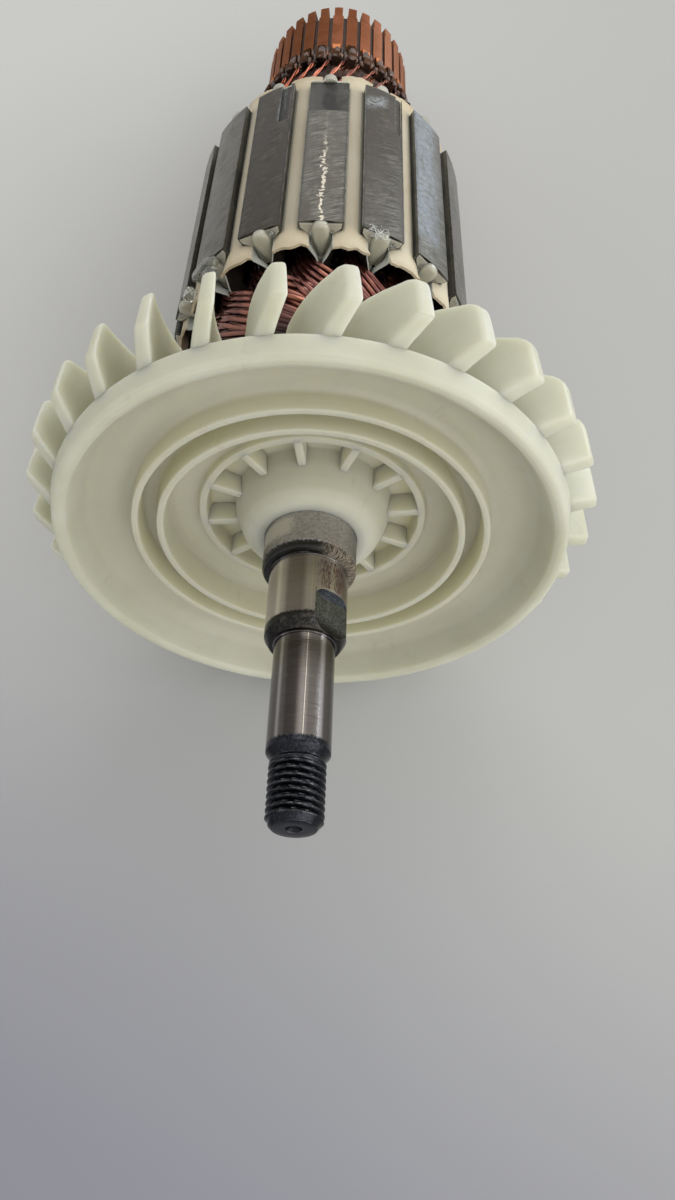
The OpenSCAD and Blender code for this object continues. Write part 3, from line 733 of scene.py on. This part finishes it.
def makeCoreSteel():
    # edges of the laminations, ground slantwise, dulled by varnish that has run along the teeth
    bench = newMaterial("coreSteel")
    where = bench.group("shaftPlace")
    station, angle, radius, unrolled = where["Station"], where["Angle"], where["Radius"], where["Unrolled"]
    lines = bench.group("turning", pitch=0.5, waver=0.25)["Lines"]
    wear = bench.wear(0.0003, 500.0)
    scoring = bench.noise(bench.joined(station - angle * 0.19, angle * 0.05, 0.0), 2.2, 5.0, 0.8)
    clouds = bench.noise(unrolled, 0.11, 4.0, 0.6)
    stray = bench.noise(unrolled, 0.17, 3.0, 0.6)
    flecks = bench.noise(bench.spot(), 1500.0, 3.0)
    toothEdge = bench.math("PINGPONG", angle - core["toothTurn"], slotStep / 2)
    # a pale, crumbling zigzag of lacquer down the top tooth
    away = abs(angle - (stray * 5.2 + (core["toothTurn"] - 2.6)))
    run = (away - (flecks - 0.5) * 5.5).ramp(0.42, 0.12) * station.ramp(76.0, 66.0, 0.12, 1.0)
    # painted shade, tinted brown, on the two teeth beside the top one, and painted shade on the floor of the cut in
    # the top tooth
    paintedShade = angle.band(9.3, 32.0, 1.0) * station.ramp(52.0, 80.0, 0.35, 1.0)
    paintedShade = bench.most(angle.band(-35.5, -13.5, 1.0), paintedShade) * clouds.ramp(0.35, 0.6, 0.6, 1.0)
    cutShade = angle.band(-10.5, 7.0, 0.5) * station.ramp(79.0, 80.5) * radius.ramp(26.99, 26.9)
    # bright smears at the far end, and a painted reflection, bluish, on the right
    leftSmear = (angle + stray * 4.0).band(-20.0, -18.2, 0.7) * station.ramp(79.5, 83.0)
    rightSmear = angle.band(13.0, 21.5, 2.0) * (station - angle * 0.30).band(81.5, 85.0, 1.2)
    smears = bench.most(leftSmear, rightSmear) * flecks.ramp(0.35, 0.6, 0.15, 0.75)
    sheenReflection = (angle + stray * 8.0).band(38.0, 51.0, 3.0) * station.ramp(51.0, 56.0)
    # inside the slots and on the end faces the steel is unground
    onSide = radius.ramp(26.55, 26.2)
    axisWay = bench.dot(bench.add("ShaderNodeNewGeometry")["True Normal"], tuple(along))
    endFace = abs(axisWay).ramp(0.7, 0.9)
    body = bench.mix(scoring.ramp(0.40, 0.62), "4e4c45", "8d8b82")
    body = bench.over(body, (clouds.ramp(0.40, 0.66, 0.0, 0.85), "524a40"),
        (lines.ramp(0.42, 0.62, 0.0, 0.25), "3b3a36"), (toothEdge.ramp(6.9, 7.7, 0.0, 0.6), "2c2d2a"),
        (run * 0.85, "e8dfcd"))
    body = bench.mix(paintedShade, body, "93806c", blend="MULTIPLY")
    body = bench.over(body, (cutShade * 0.75, "2f2c27"), (smears, "a9b0b2"),
        (sheenReflection * flecks.ramp(0.35, 0.6, 0.1, 0.42), "a3aebb"), (onSide * (1.0 - endFace), "2a2a29"),
        (endFace, bench.mix(clouds.ramp(0.4, 0.6), "31312d", "5e5e56")), (wear * 0.55, "b4b3ab"))
    return finished(bench, {"Base Color": body, "Metallic": 1.0, "Coat Roughness": 0.22,
        "Roughness": clouds.ramp(0.3, 0.7, 0.34, 0.48) + onSide * 0.12 - run * 0.1,
        "Coat Weight": clouds.ramp(0.40, 0.6, 0.1, 0.6)}, scoring * 0.9 + lines * 0.6 + run * 0.8, 0.8, 0.00014)


def makeClearPlastic(name, tint, rough, weight, rubbedAndLitEdges=0.5, cloud="8c8b7d"):
    bench = newMaterial(name)
    specks, clouds = bench.dirt(0.5, 0.5, 11.0)
    wear = bench.wear(0.0003, 700.0)
    body = bench.mix(clouds.ramp(0.35, 0.7), tint, cloud)
    # lighter rims: wear, and on the film, where this is raised near to full, a painted highlight along its edge
    body = bench.over(body, (wear * rubbedAndLitEdges, "e6eae2"), (specks * 0.6, "4a4b44"))
    values = {"Base Color": body, "Roughness": rough, "IOR": 1.48, "Coat Weight": 0.35, "Coat Roughness": 0.12,
        "Subsurface Weight": weight, "Subsurface Radius": (0.0025, 0.0027, 0.0024), "Subsurface Scale": 1.0}
    return finished(bench, values, clouds, 0.4, 0.0003)


def dress(names, material):
    for name in names:
        cover(frame["nodes"][name], material)


dress(["core"], makeCoreSteel())
petal = dict(fanThick=1.35, commThick=3.0, spoke=0.55, plate=1.15, web=0.25)
# (radius, half width) along a petal, and along the web that joins it to the tooth
petalWidths = ((20.0, 0.16), (20.8, 0.36), (21.6, 0.62), (22.4, 0.88), (23.2, 1.12), (24.0, 1.33), (24.8, 1.46),
    (25.4, 1.50), (25.9, 1.45), (26.35, 1.30), (26.7, 1.02), (26.9, 0.66), (26.97, 0.12))
webWidths = [(r, toothHalf(r) - 0.1) for r in (21.0, 22.2, 23.8)]
webWidths += [(24.6, 1.75), (25.2, 2.6), (25.75, 3.3), (26.5, 3.45)]


def barOutline(half, high):
    return [(-half, 0), (-half, high), (half, high), (half, 0)]


def petalArch(half, thick):
    high = 0.5 + (thick - 0.5) * min(1.0, half / 1.2)
    return [(-half * math.cos(t), high * math.sin(t) ** 0.55) for t in (math.pi * k / 12 for k in range(13))]


def makeEndPlates(name, face, outward, node, thick):
    # moulded star at one end of the core: a spoke on every tooth, which swells to an egg-shaped petal
    points, faces, plate = [], [], petal["plate"]
    sections = ([(r, petalArch(half, thick)) for r, half in petalWidths],
        [(r, barOutline(half, petal["web"])) for r, half in webWidths],
        [(r, barOutline(petal["spoke"], plate)) for r in (12.4, 20.9)])
    for index in range(core["teeth"]):
        turn = core["toothTurn"] + index * slotStep
        for section in sections:
            addRun(points, faces, [[beside(r, y, turn, face + outward * z) for y, z in outline]
                for r, outline in section])
    ring = [(face + outward * z, r) for z, r in ((0, 9.02), (plate, 9.02), (plate, 12.95), (0, 12.95))]
    addMesh(points, faces, *spin(ring, 64, loop=True))
    return addPiece(name, points, faces, "nylon", replaced=(node,), smooth=50)


platePlastic = makeClearPlastic("endPlatePlastic", "b9b6a4", 0.16, 0.4)
cover(makeEndPlates("fanEndPlate", core["near"] - 0.02, -1, "insulator_fan", petal["fanThick"]), platePlastic)
cover(makeEndPlates("commEndPlate", core["far"] + 0.02, 1, "insulator_comm", petal["commThick"]), platePlastic)
film = dict(thick=0.2, out=3.5, top=24.6, bottom=14.6, spreadFrom=24.3, spreadOver=3.0, sag=0.25)


def makeFilm():
    # slot liners: film that lines each slot, and outside the core folds over the teeth beside it
    f, near, far = film, core["near"], core["far"]
    points, faces, sides, reaches = [], [], [], (1.0, 0.85, 0.65, 0.4, 0.15, 0.0)
    stations = [near - f["out"] * t for t in reaches] + [near + 2, far - 2]
    stations += [far + f["out"] * t for t in reversed(reaches)]
    drop = (f["top"] - f["bottom"]) / 16
    walk = [(-1, f["top"] - drop * k) for k in range(17)] + [(0, 13.9)]
    walk += [(1, f["bottom"] + drop * k) for k in range(17)]

    def filmSpot(index, layer, z, side, r):
        out = max(0.0, near - z, z - far) / f["out"]
        half = slotHalf(r) - 0.04 - layer * f["thick"] if side else 0.0
        folded = min(max((f["spreadFrom"] - r) / f["spreadOver"], 0.0), 0.92) * min(1.0, out * 1.5) ** 1.5
        wave = f["sag"] * out * wobble(r * 0.5, index * 2.7 + side * 5, z * 0.06)
        y = side * (half + folded * max(toothHalf(r) - 0.08, 0) + wave * (0.6 if side else 0))
        swing = 0.35 * out * wobble(side * 3.0, index * 1.9, r * 0.2)
        rise = 0.5 * out * wobble(r * 0.35, side * 2.0 + index * 4.1, 3.0) * (1 if z > far else -1)
        return beside((r if side else r + layer * f["thick"]) + swing, y, slotTurn + index * slotStep, z + rise)

    for index in range(core["teeth"]):
        moreFaces, layers = sheetFaces(len(points), len(stations), len(walk))
        faces += moreFaces
        sides += layers
        points += [filmSpot(index, layer, z, side, r) for layer in (0, 1) for z in stations for side, r in walk]
    # the film's rims are painted near white: wear and a painted highlight
    clear = makeClearPlastic("filmPlastic", "bdc1b8", 0.14, 0.25, rubbedAndLitEdges=0.95)
    # the film's inner face, towards the coil, gets a dark copy of the film plastic: painted shade
    paintedShade = makeClearPlastic("stainedFilm", "2b2622", 0.3, 0.05, rubbedAndLitEdges=0.4, cloud="191614")
    addPiece("linerFilm", points, faces, "film", ("slot_liners",), 50, (clear, paintedShade), sides)


makeFilm()
dress(["sleeve"], makeClearPlastic("tubePlastic", "a89c7c", 0.45, 0.1))
varnish = dict(dropsPerTooth=7, smallest=0.18, largest=0.42, leftDrops=7, highest=27.35)


def makeVarnish():
    # clear drops that have set where the film meets the core, and a bigger mass on the left
    random.seed(44)
    points, faces, spots = [], [], []
    shape, skin = ballOf(3)
    for index in range(core["teeth"]):
        turn = core["toothTurn"] + index * slotStep
        for _ in range(varnish["dropsPerTooth"]):
            side = random.choice((-1, 1))
            size = random.uniform(varnish["smallest"], varnish["largest"])
            spots.append((turn + side * random.uniform(3.2, 5.2), random.uniform(24.4, 26.4),
                core["near"] - random.uniform(-0.1, 0.7), size))
    for _ in range(varnish["leftDrops"]):
        spots.append((random.uniform(-61, -46), random.uniform(25.2, 27.0), core["near"] - random.uniform(0.0, 3.2),
            random.uniform(0.9, 1.5)))
    for turn, r, z, size in spots:
        seed, drop = Vector((random.uniform(0, 90), 0, 0)), []
        for p in shape:
            q = p * size * (1 + 0.5 * noise.noise(p * 1.4 + seed) + 0.25 * noise.noise(p * 4.0 + seed))
            radius = min(r + q.y, varnish["highest"])
            drop.append(place(radius, turn + math.degrees(q.x * 1.3 / radius), z + q.z))
        addMesh(points, faces, drop, skin)
    return addPiece("varnishDrops", points, faces, "film", smooth=70)


def makeDropVarnish():
    bench = newMaterial("dropVarnish")
    cloudy = bench.noise(bench.spot(), 500.0, 3.0)
    values = {"Base Color": bench.mix(cloudy.ramp(0.35, 0.65), "f6f7f4", "e3e5dd"),
        "Roughness": cloudy.ramp(0.3, 0.7, 0.05, 0.2), "IOR": 1.5, "Transmission Weight": 0.92}
    return finished(bench, values, cloudy, 0.3, 0.0001)


def makeTuft():
    # loose glass fibre caught on the petal right of the top
    random.seed(9)
    points, faces = [], []
    for strand in range(30):
        a, z, r = 18.6 + random.gauss(0, 1.1), core["near"] + random.gauss(-0.5, 0.45), 26.75 + random.uniform(0, 0.5)
        heading, bend, path = random.uniform(0, 6.28), random.choice((-1, 1)) * random.uniform(0.1, 0.5), []
        for k in range(8):
            path.append(place(min(r + 0.25 * math.sin(k * 0.7 + strand), 27.6), a, z))
            heading += bend + random.uniform(-0.3, 0.3)
            a += math.cos(heading) * 0.55
            z += math.sin(heading) * 0.28
        tube(points, faces, path, 0.045, 5)
    return addPiece("fibreTuft", points, faces, "film", smooth=60)


cover(makeVarnish(), makeDropVarnish())
cover(makeTuft(), makeClearPlastic("fibreGlass", "d2d4cf", 0.35, 0.1))
print("armature: core dressed")

# paper wedges that close the slots
wedge = dict(out=4.8, thick=0.45, arch=4.6, crown=25.64, half=2.83, ragged=0.5, flare=0.25, columns=19)


def makeWedges():
    w, near, length = wedge, core["near"], core["far"] - core["near"] + 2 * wedge["out"]
    stretch = [0.0, 0.25, 0.6, 1.2, 2.2, 3.4, 4.6, 5.2, 7.0]
    stations = stretch + [length * k / 12 for k in range(3, 10)] + [length - s for s in reversed(stretch)]

    def wedgeSpot(index, layer, s, k):
        # s runs along the wedge, k across it; the ends are torn, tucked in and curled
        fromEnd, nearEnd, u = min(s, length - s), s < length / 2, -1 + 2 * k / (w["columns"] - 1)
        y, seed = u * w["half"], Vector((u * 1.9, index * 3.1, 0 if nearEnd else 9))
        tear = noise.noise(seed * 1.3) * 0.55 + noise.noise(seed * 5.0) * 0.28 + noise.noise(seed * 13.0) * 0.12
        tuck = max(0.0, 1 - fromEnd / 2.5)
        shift = (1 if nearEnd else -1) * (tear * w["ragged"] * 1.6 + 0.35) * max(0.0, 1 - fromEnd / 3.0)
        drop = (w["arch"] - math.sqrt(w["arch"] ** 2 - y * y)) * (1 - 0.25 * tuck)
        lift = 0.22 * tuck * (u * u) + 0.10 * wobble(u * 2, s * 0.7, index * 5.0) * tuck
        curl = w["flare"] * max(0.0, 1 - fromEnd / 4.0) ** 1.5 * math.sin(index * 2.3 + (0 if nearEnd else 1.7))
        r = w["crown"] - drop - w["thick"] * layer + lift + curl * 0.5
        return beside(r, y * (1 + 0.09 * tuck) + 0.22 * tuck, slotTurn + index * slotStep, near - w["out"] + s + shift)

    points, faces = [], []
    for index in range(core["teeth"]):
        faces += sheetFaces(len(points), len(stations), w["columns"])[0]
        points += [wedgeSpot(index, layer, s, k) for layer in (0, 1) for s in stations for k in range(w["columns"])]
    names = ["wedge_%02d" % (i + 1) for i in range(core["teeth"])]
    return addPiece("paperWedges", points, faces, "paper", replaced=names, smooth=50)


def makePaper():
    bench = newMaterial("wedgePaper")
    where, near, far = bench.group("shaftPlace"), core["near"], core["far"]
    station = where["Station"]
    specks, clouds = bench.dirt(0.7, 0.6, 5.0)
    fibre = bench.noise(where["Unrolled"], 1.6, 6.0, 0.7)
    wear = bench.wear(0.0003, 900.0)
    # varnish has soaked in near both ends; painted shade greys both sides of the wedge inside the core, under the
    # teeth, and greys the whole wedge a little there
    soaked = bench.most(station.ramp(near - 2.2, near - 4.6), station.ramp(far + 2.2, far + 4.4))
    aside = bench.math("PINGPONG", where["Angle"] - slotTurn, slotStep / 2)
    shadedEdges = (aside + fibre * 0.9).ramp(2.5, 3.4) * station.band(near, far, 0.6)
    body = bench.mix(clouds.ramp(0.35, 0.7), "d3c9b0", "c6b798")
    body = bench.over(body, (fibre.ramp(0.35, 0.75, 0.0, 0.4), "d8cfb8"), (wear * 0.8, "e0d7c2"),
        (soaked * 0.25, "a88f66"), (specks * 0.5, "5e4a34"), (shadedEdges * 0.85, "6d7062"),
        (station.band(near + 1.0, far, 1.5) * 0.3, "9b968a"))
    values = {"Base Color": body, "Roughness": 0.78, "Subsurface Weight": 0.12,
        "Subsurface Radius": (0.0012, 0.0009, 0.0006)}
    return finished(bench, values, fibre, 0.5, 0.0002)


cover(makeWedges(), makePaper())
print("armature: wedges cut")

# winding: coils lap from the top of one slot to the bottom of the slot seven further on
winding = dict(wire=0.45, perLayer=6, pitch=1.28, layers=3, sides=6, fanHead=21.0, commHead=18.0, steepness=1.1,
    stray=0.05, fillWire=0.78)
# (distance out, radius) of a head's surface, for a head as long as the fan's
headShape = ((-9.0, 21.3), (0.0, 21.7), (3.0, 21.8), (8.8, 21.1), (13.9, 19.4), (18.0, 16.9), (20.4, 13.8),
    (21.0, 11.6), (24.0, 9.8))


def headRadius(out, length):
    # how far from the shaft a head reaches, at a distance out from the core's face
    z = out * 21.0 / length
    for (z0, r0), (z1, r1) in zip(headShape, headShape[1:]):
        if z <= z1:
            return r0 + (r1 - r0) * (z - z0) / (z1 - z0)
    return headShape[-1][1]


def through(keys, steps):
    # a smooth run through a few key places
    out = []
    for i in range(len(keys) - 1):
        a, b, c, d = keys[max(i - 1, 0)], keys[i], keys[i + 1], keys[min(i + 2, len(keys) - 1)]
        for t in (k / steps for k in range(steps)):
            out.append(tuple(0.5 * (2 * q + (r - p) * t + (2 * p - 5 * q + 4 * r - s) * t * t
                + (3 * q - p - 3 * r + s) * t ** 3) for p, q, r, s in zip(a, b, c, d)))
    return out + [tuple(keys[-1])]


def wireKeys(layer, n, steep):
    # one turn of wire: (degrees on from the slot, distance out from the core, depth under the head's surface)
    m = n * winding["pitch"]
    across = 2.2 - 0.62 * m + random.uniform(-0.07, 0.07) - 0.3 * (layer % 2)
    off = math.degrees(across / 20.6)
    sunk, low = 0.82 * layer + random.uniform(-0.05, 0.05), 0.5 * max(0, m - 2)
    stray = random.random() < winding["stray"]
    lift, slip = (0.45, random.choice((-1.5, -1.0, 1.1, 1.6))) if stray and layer == 0 else (0.0, 0.0)

    def j(amount):
        return random.uniform(-amount, amount)

    return [(off * 0.8 - 3.0, -6.5, 1.1 + sunk + low * 0.8), (off - 0.6, -0.6, 0.7 + sunk + low),
        (off + 2.0 + j(0.08), 2.2 * steep + 0.1 * m, 0.4 + sunk + low * 0.6),
        (off + 7.5 + j(0.12), (3.9 + 0.55 * m) * steep + j(0.08), 0.3 + sunk - lift * 0.5),
        (off + 17 + j(0.35), (5.9 + 0.72 * m) * steep + slip * 0.4 + j(0.08), 0.4 + sunk - lift),
        (off + 33 + j(0.5), (9.2 + 0.78 * m) * (0.6 + 0.4 * steep) + slip + j(0.12), 0.6 + sunk - lift),
        (58 + j(1), 13.6 + 0.6 * m + slip * 0.6 + j(0.12), 0.9 + sunk * 1.1),
        (86 + j(1), 17.2 + 0.32 * m + j(0.08), 1.0 + sunk * 1.2),
        (118 + j(2), 19.2 + 0.14 * m + j(0.08), 0.9 + sunk * 0.8), (150 + j(2), 20.0 + j(0.08), 0.9 + sunk * 0.5)]


def makeHead(face, outward, length, seed):
    random.seed(seed)
    points, faces, shades = [], [], []
    size = length / 21.0
    for coil in range(core["teeth"]):
        turn = slotTurn + coil * slotStep
        leftward = 0.16 * math.sin(math.radians(turn + 30))
        steep = winding["steepness"] * (1.0 + leftward + random.uniform(-0.06, 0.06))
        for layer in range(winding["layers"]):
            for n in range(winding["perLayer"]):
                path = []
                for ahead, out, depth in through(wireKeys(layer, n, steep), 4):
                    out = min(out, 20.6) * size if out > 0 else out
                    if out > 16.5 * size:
                        r = max(headRadius(min(out, 20.5 * size), length) - depth, 9.6)
                        out -= depth * 0.4
                    else:
                        r = headRadius(out, length) - depth
                    path.append(place(r, turn + ahead, face + outward * out))
                tube(points, faces, path, winding["wire"], winding["sides"])
                shades += [min(layer, 1)] * (len(faces) - len(shades))
    return points, faces, shades


def makeSlotFill():
    # straight part of the coils inside the slots, seen at the slots' ends
    points, faces = [], []
    near, far = core["near"], core["far"]
    for index in range(core["teeth"]):
        turn = slotTurn + index * slotStep
        for u in range(5):
            for v in (-1, 0, 1):
                r, y = 15.2 + u * 1.3, v * (0.35 + u * 0.30)
                path = [beside(r, y, turn, z) for z in (near - 1.2, near + 3, far - 3, far + 1.2)]
                tube(points, faces, path, winding["fillWire"], 8)
    return points, faces


def makeEnamel(name, shade):
    # dark red enamel over copper, glossy, with crusts of dried varnish here and there
    bench = newMaterial(name)
    where, spot = bench.group("shaftPlace"), bench.spot()
    station = where["Station"]
    patches = bench.noise(spot, 70.0)
    runs = bench.noise(where["Unrolled"], 0.10).ramp(0.50, 0.62, 0.0, 0.7)
    fine = bench.noise(spot, 420.0, 3.0, 0.6)
    crust = fine.ramp(0.56, 0.64) * patches.ramp(0.46, 0.58)
    # painted shade between the lower wires, and where the coils leave the slots, darker on each slot's left
    outOf = bench.most(core["near"] - station, station - core["far"])
    leftSide = bench.math("WRAP", where["Angle"] - slotTurn, slotStep / 2, -slotStep / 2).ramp(1.5, -2.5)
    mouthShade = outOf.ramp(3.6, 1.6) * (leftSide * 0.45 + 0.55)
    deepShade = bench.most(where["Radius"].ramp(20.6, 17.8), mouthShade)
    body = bench.mix(patches.ramp(0.38, 0.64), "733f37", "9c5f54")
    body = bench.over(body, (runs, "b8765e"), (crust * 0.45, "a59a92"), (deepShade * 0.93, "150908"), (shade, "1c0d0b"))
    values = {"Base Color": body, "Roughness": fine.ramp(0.35, 0.7, 0.13, 0.24), "Metallic": 0.9, "Coat Weight": 0.8,
        "Coat Roughness": 0.08}
    return finished(bench, values, patches + fine * 0.5, 0.2, 0.00008)


enamel = makeEnamel("enamelledWire", 0.0)
enamelShaded = makeEnamel("enamelledWireBelow", 0.62)  # wires of the layers beneath, painted darker as shade between them
# (share of the head's length, radius) of the heart under the wires, in the painted-shade enamel, that shows dark
# between them
heartSection = ((0.40, 17.9), (0.62, 16.6), (0.80, 14.0), (0.93, 11.0), (0.94, 9.05))
heads = (("fanEndTurns", core["near"], -1, winding["fanHead"], 3, ("winding",)),
    ("commEndTurns", core["far"], 1, winding["commHead"], 8, ()))
for name, face, outward, length, seed, replaced in heads:
    points, faces, shades = makeHead(face, outward, length, seed)
    addPiece(name, points, faces, "enamelled_wire", replaced, 60, (enamel, enamelShaded), shades)
    inner = [(0.6, 9.05), (0.6, 17.6)] + [(length * share, r) for share, r in heartSection]
    heart = spin([(face + outward * z, r) for z, r in inner], 96, loop=True)
    addPiece(name + "Heart", *heart, "enamelled_wire", materials=(enamelShaded,))
addPiece("slotWires", *makeSlotFill(), "enamelled_wire", smooth=60, materials=(enamelShaded,))
print("armature: winding laid")

# commutator: copper bars with fused hooks, and the leads that run into them
commutator = dict(bars=32, barTurn=-1.42, leadWire=0.26, leadRadius=17.15, crustTop=18.46)
barStep = 360 / commutator["bars"]


def makeLeads():
    # two wires twisted side by side run from the head to each hook, and cross under its bend
    random.seed(12)
    points, faces, under = [], [], commutator["leadRadius"]
    for bar in range(commutator["bars"]):
        turn = commutator["barTurn"] + bar * barStep
        sway = random.uniform(-0.5, 0.5)
        # (place beside the bar's middle, radius, station)
        keys = [(-7.2 + sway, 15.2, 105.5), (-6.2 + sway, 17.0, 110.0), (-4.6 + sway * 0.7, 17.35, 114.0),
            (-3.1 + sway * 0.4, 17.3, 118.0), (-1.75, 17.2, 121.3), (-1.45, under, 122.5), (-0.9, under, 123.25),
            (0.2, under, 123.35), (1.0, under, 123.35)]
        for strand in (0, 1):
            path = []
            for i, (y, r, z) in enumerate(through(keys, 4)):
                twist = i * 0.55 + math.pi * strand
                apart = 0.26 if z > 121.8 else 0.36
                r = min(r, under if z > 122.4 else r) + apart * 0.5 * math.sin(twist)
                path.append(beside(r, y + apart * math.cos(twist) * 0.6, turn, z))
            tube(points, faces, path, commutator["leadWire"], 7)
    return addPiece("commLeads", points, faces, "enamelled_wire", smooth=60)


def makeLeadFinish():
    # brighter than the coils, because the enamel was scraped before fusing
    bench = newMaterial("scrapedLead")
    patches = bench.noise(bench.spot(), 210.0, 3.0)
    burnt = (bench.group("shaftPlace")["Station"] + patches * 2.0).ramp(121.8, 123.2)
    body = bench.mix(patches.ramp(0.36, 0.62), "c9785a", "8a4634")
    values = {"Base Color": bench.mix(burnt * 0.9, body, "33231d"), "Roughness": patches.ramp(0.3, 0.7, 0.18, 0.32),
        "Metallic": 1.0}
    return finished(bench, values, patches, 0.2, 0.0001)


def makeLumpyRing(name, profile, steps, twist, waves, slot, material):
    # waves are (height, waves round the ring, waves along it)
    def lumpy(z, r, angle):
        turn = math.radians(angle + z * twist)
        if r < 13:
            return r
        return r + sum(high * wobble(math.cos(turn) * around, math.sin(turn) * around, z * lengthwise)
            for high, around, lengthwise in waves)

    return addPiece(name, *spin(profile, steps, loop=True, shape=lumpy), slot, smooth=60, materials=(material,))


def makeHookCrust():
    # burnt, lumpy crust where each hook was fused over its wire
    random.seed(21)
    points, faces = [], []
    shape, skin = ballOf(2)
    # (place beside the bar's middle, radius, station, width, height, length)
    heaps = ((-1.0, 17.35, 122.9, 0.62, 0.6, 1.1), (1.05, 17.4, 123.3, 0.6, 0.62, 1.2),
        (0.0, 18.2, 122.75, 0.8, 0.35, 0.9), (-1.35, 16.75, 125.6, 0.42, 0.55, 1.6),
        (0.1, 17.3, 126.9, 0.78, 0.42, 1.9), (1.3, 16.7, 127.6, 0.40, 0.5, 1.9))
    for bar in range(commutator["bars"]):
        turn = commutator["barTurn"] + bar * barStep
        for y, r, z, wide, high, long in heaps:
            y, z = y + random.uniform(-0.15, 0.15), z + random.uniform(-0.5, 0.5)
            grow, heap = random.uniform(0.75, 1.1), []
            seed = Vector((random.uniform(0, 50), random.uniform(0, 50), 0))
            for p in shape:
                q = p * (1 + 0.38 * noise.noise(p * 1.6 + seed) + 0.14 * noise.noise(p * 4.0 + seed)) * grow
                heap.append(beside(min(r + q.y * high, commutator["crustTop"]), y + q.x * wide, turn, z + q.z * long))
            addMesh(points, faces, heap, skin)
    return addPiece("hookCrust", points, faces, "copper", smooth=70)


def makeBarCopper():
    # each bar has tarnished its own shade; brushes have rubbed fine lines round the track
    bench = newMaterial("barCopper")
    where = bench.group("shaftPlace")
    station, angle, radius = where["Station"], where["Angle"], where["Radius"]
    lines = bench.group("turning", pitch=0.10, waver=0.4)["Lines"]
    wear = bench.wear(0.0002, 700.0)
    index = bench.math("ROUND", (angle - commutator["barTurn"]) / barStep)
    tone = bench.add("ShaderNodeTexWhiteNoise", {"W": index}, noise_dimensions="1D")["Value"]
    clouds = bench.noise(bench.spot(), 160.0, 4.0, 0.6)
    # painted light: the bars towards the right are painted lighter
    track = bench.over(bench.mix(tone, "6f4535", "a36a54"), (clouds.ramp(0.42, 0.68, 0.0, 0.6), "5d3829"),
        (lines.ramp(0.42, 0.66, 0.0, 0.35), "bd8263"), (angle.ramp(12.0, 48.0, 0.0, 0.5), "d39a7f"))
    inHook = (station + clouds * 2.0).ramp(131.6, 130.6)
    # bare copper on top of the hook tips, painted bright as a highlight
    copperTipHighlight = station.band(127.6, 130.2, 0.5) * radius.ramp(17.0, 17.25)
    copperTipHighlight = copperTipHighlight * (tone + clouds * 0.5).ramp(0.45, 0.7)
    # painted shade: the bars are darkened below radius 16.5, down in the gaps between them
    body = bench.over(track, (inHook, bench.mix(clouds.ramp(0.40, 0.60), "2a211d", "57453b")),
        (copperTipHighlight, "dd9468"), (radius.ramp(16.5, 15.9) * 0.75, "231915"), (wear * 0.55, "c8987d"))
    values = {"Base Color": body, "Metallic": 1.0, "Specular Tint": "e2c2b0",
        "Roughness": lines.ramp(0.3, 0.7, 0.26, 0.42) + inHook * 0.16}
    return finished(bench, values, lines * 0.5 + clouds * inHook * 4.0, 0.6, 0.00010)


def makeCrustFinish():
    bench = newMaterial("burntCrust")
    patches = bench.noise(bench.spot(), 320.0, 4.0, 0.65)
    glint = patches.ramp(0.58, 0.62)
    body = bench.over(bench.mix(patches.ramp(0.38, 0.58), "33251f", "65483b"), (glint, "a06a50"))
    values = {"Base Color": body, "Metallic": glint, "Roughness": patches.ramp(0.3, 0.7, 0.5, 0.24)}
    return finished(bench, values, patches, 0.7, 0.0003)


def makeMoulding(name, dark, light, rough):
    bench = newMaterial(name)
    specks, clouds = bench.dirt(0.6, 0.5, 17.0)
    wear = bench.wear(0.0002, 600.0)
    body = bench.mix(clouds.ramp(0.35, 0.7), dark, light)
    body = bench.over(body, (wear * 0.5, "8a6a50"), (specks * 0.6, "6e5f4e"))
    values = {"Base Color": body, "Roughness": rough, "Specular IOR Level": 0.25}
    return finished(bench, values, clouds, 0.4, 0.0003)


cover(makeLeads(), makeLeadFinish())
# varnished winding under the leads, between the head and the commutator
makeLumpyRing("leadBed", [(107.5, 9.1), (107.5, 15.0), (110.0, 15.3), (113.0, 15.7), (117.0, 15.9), (119.2, 15.3),
    (119.6, 13.0), (119.6, 9.1)], 192, 6, ((0.35, 12, 0.5),), "enamelled_wire", enamel)
crustFinish = makeCrustFinish()
cover(makeHookCrust(), crustFinish)
# dark resin under the hooks, lumpy where it has set round the leads
makeLumpyRing("resinCollar", [(118.6, 9.1), (118.4, 11.0), (118.9, 13.2), (119.8, 14.6), (120.7, 15.5), (121.4, 16.0),
    (122.0, 16.15), (122.9, 15.9), (123.6, 15.2), (123.8, 12.0), (123.8, 9.1)], 256, 0,
    ((0.55, 9, 0.9), (0.25, 26, 2.2)), "copper", crustFinish)
dress(["bar_%02d" % (i + 1) for i in range(commutator["bars"])], makeBarCopper())
dress(["comm_moulding"], makeMoulding("commMoulding", "30211b", "4a342a", 0.6))
dress(["comm_bush"], makeMoulding("bushSteel", "77756f", "96948d", 0.35))
print("armature: commutator finished")

print("armature: done")
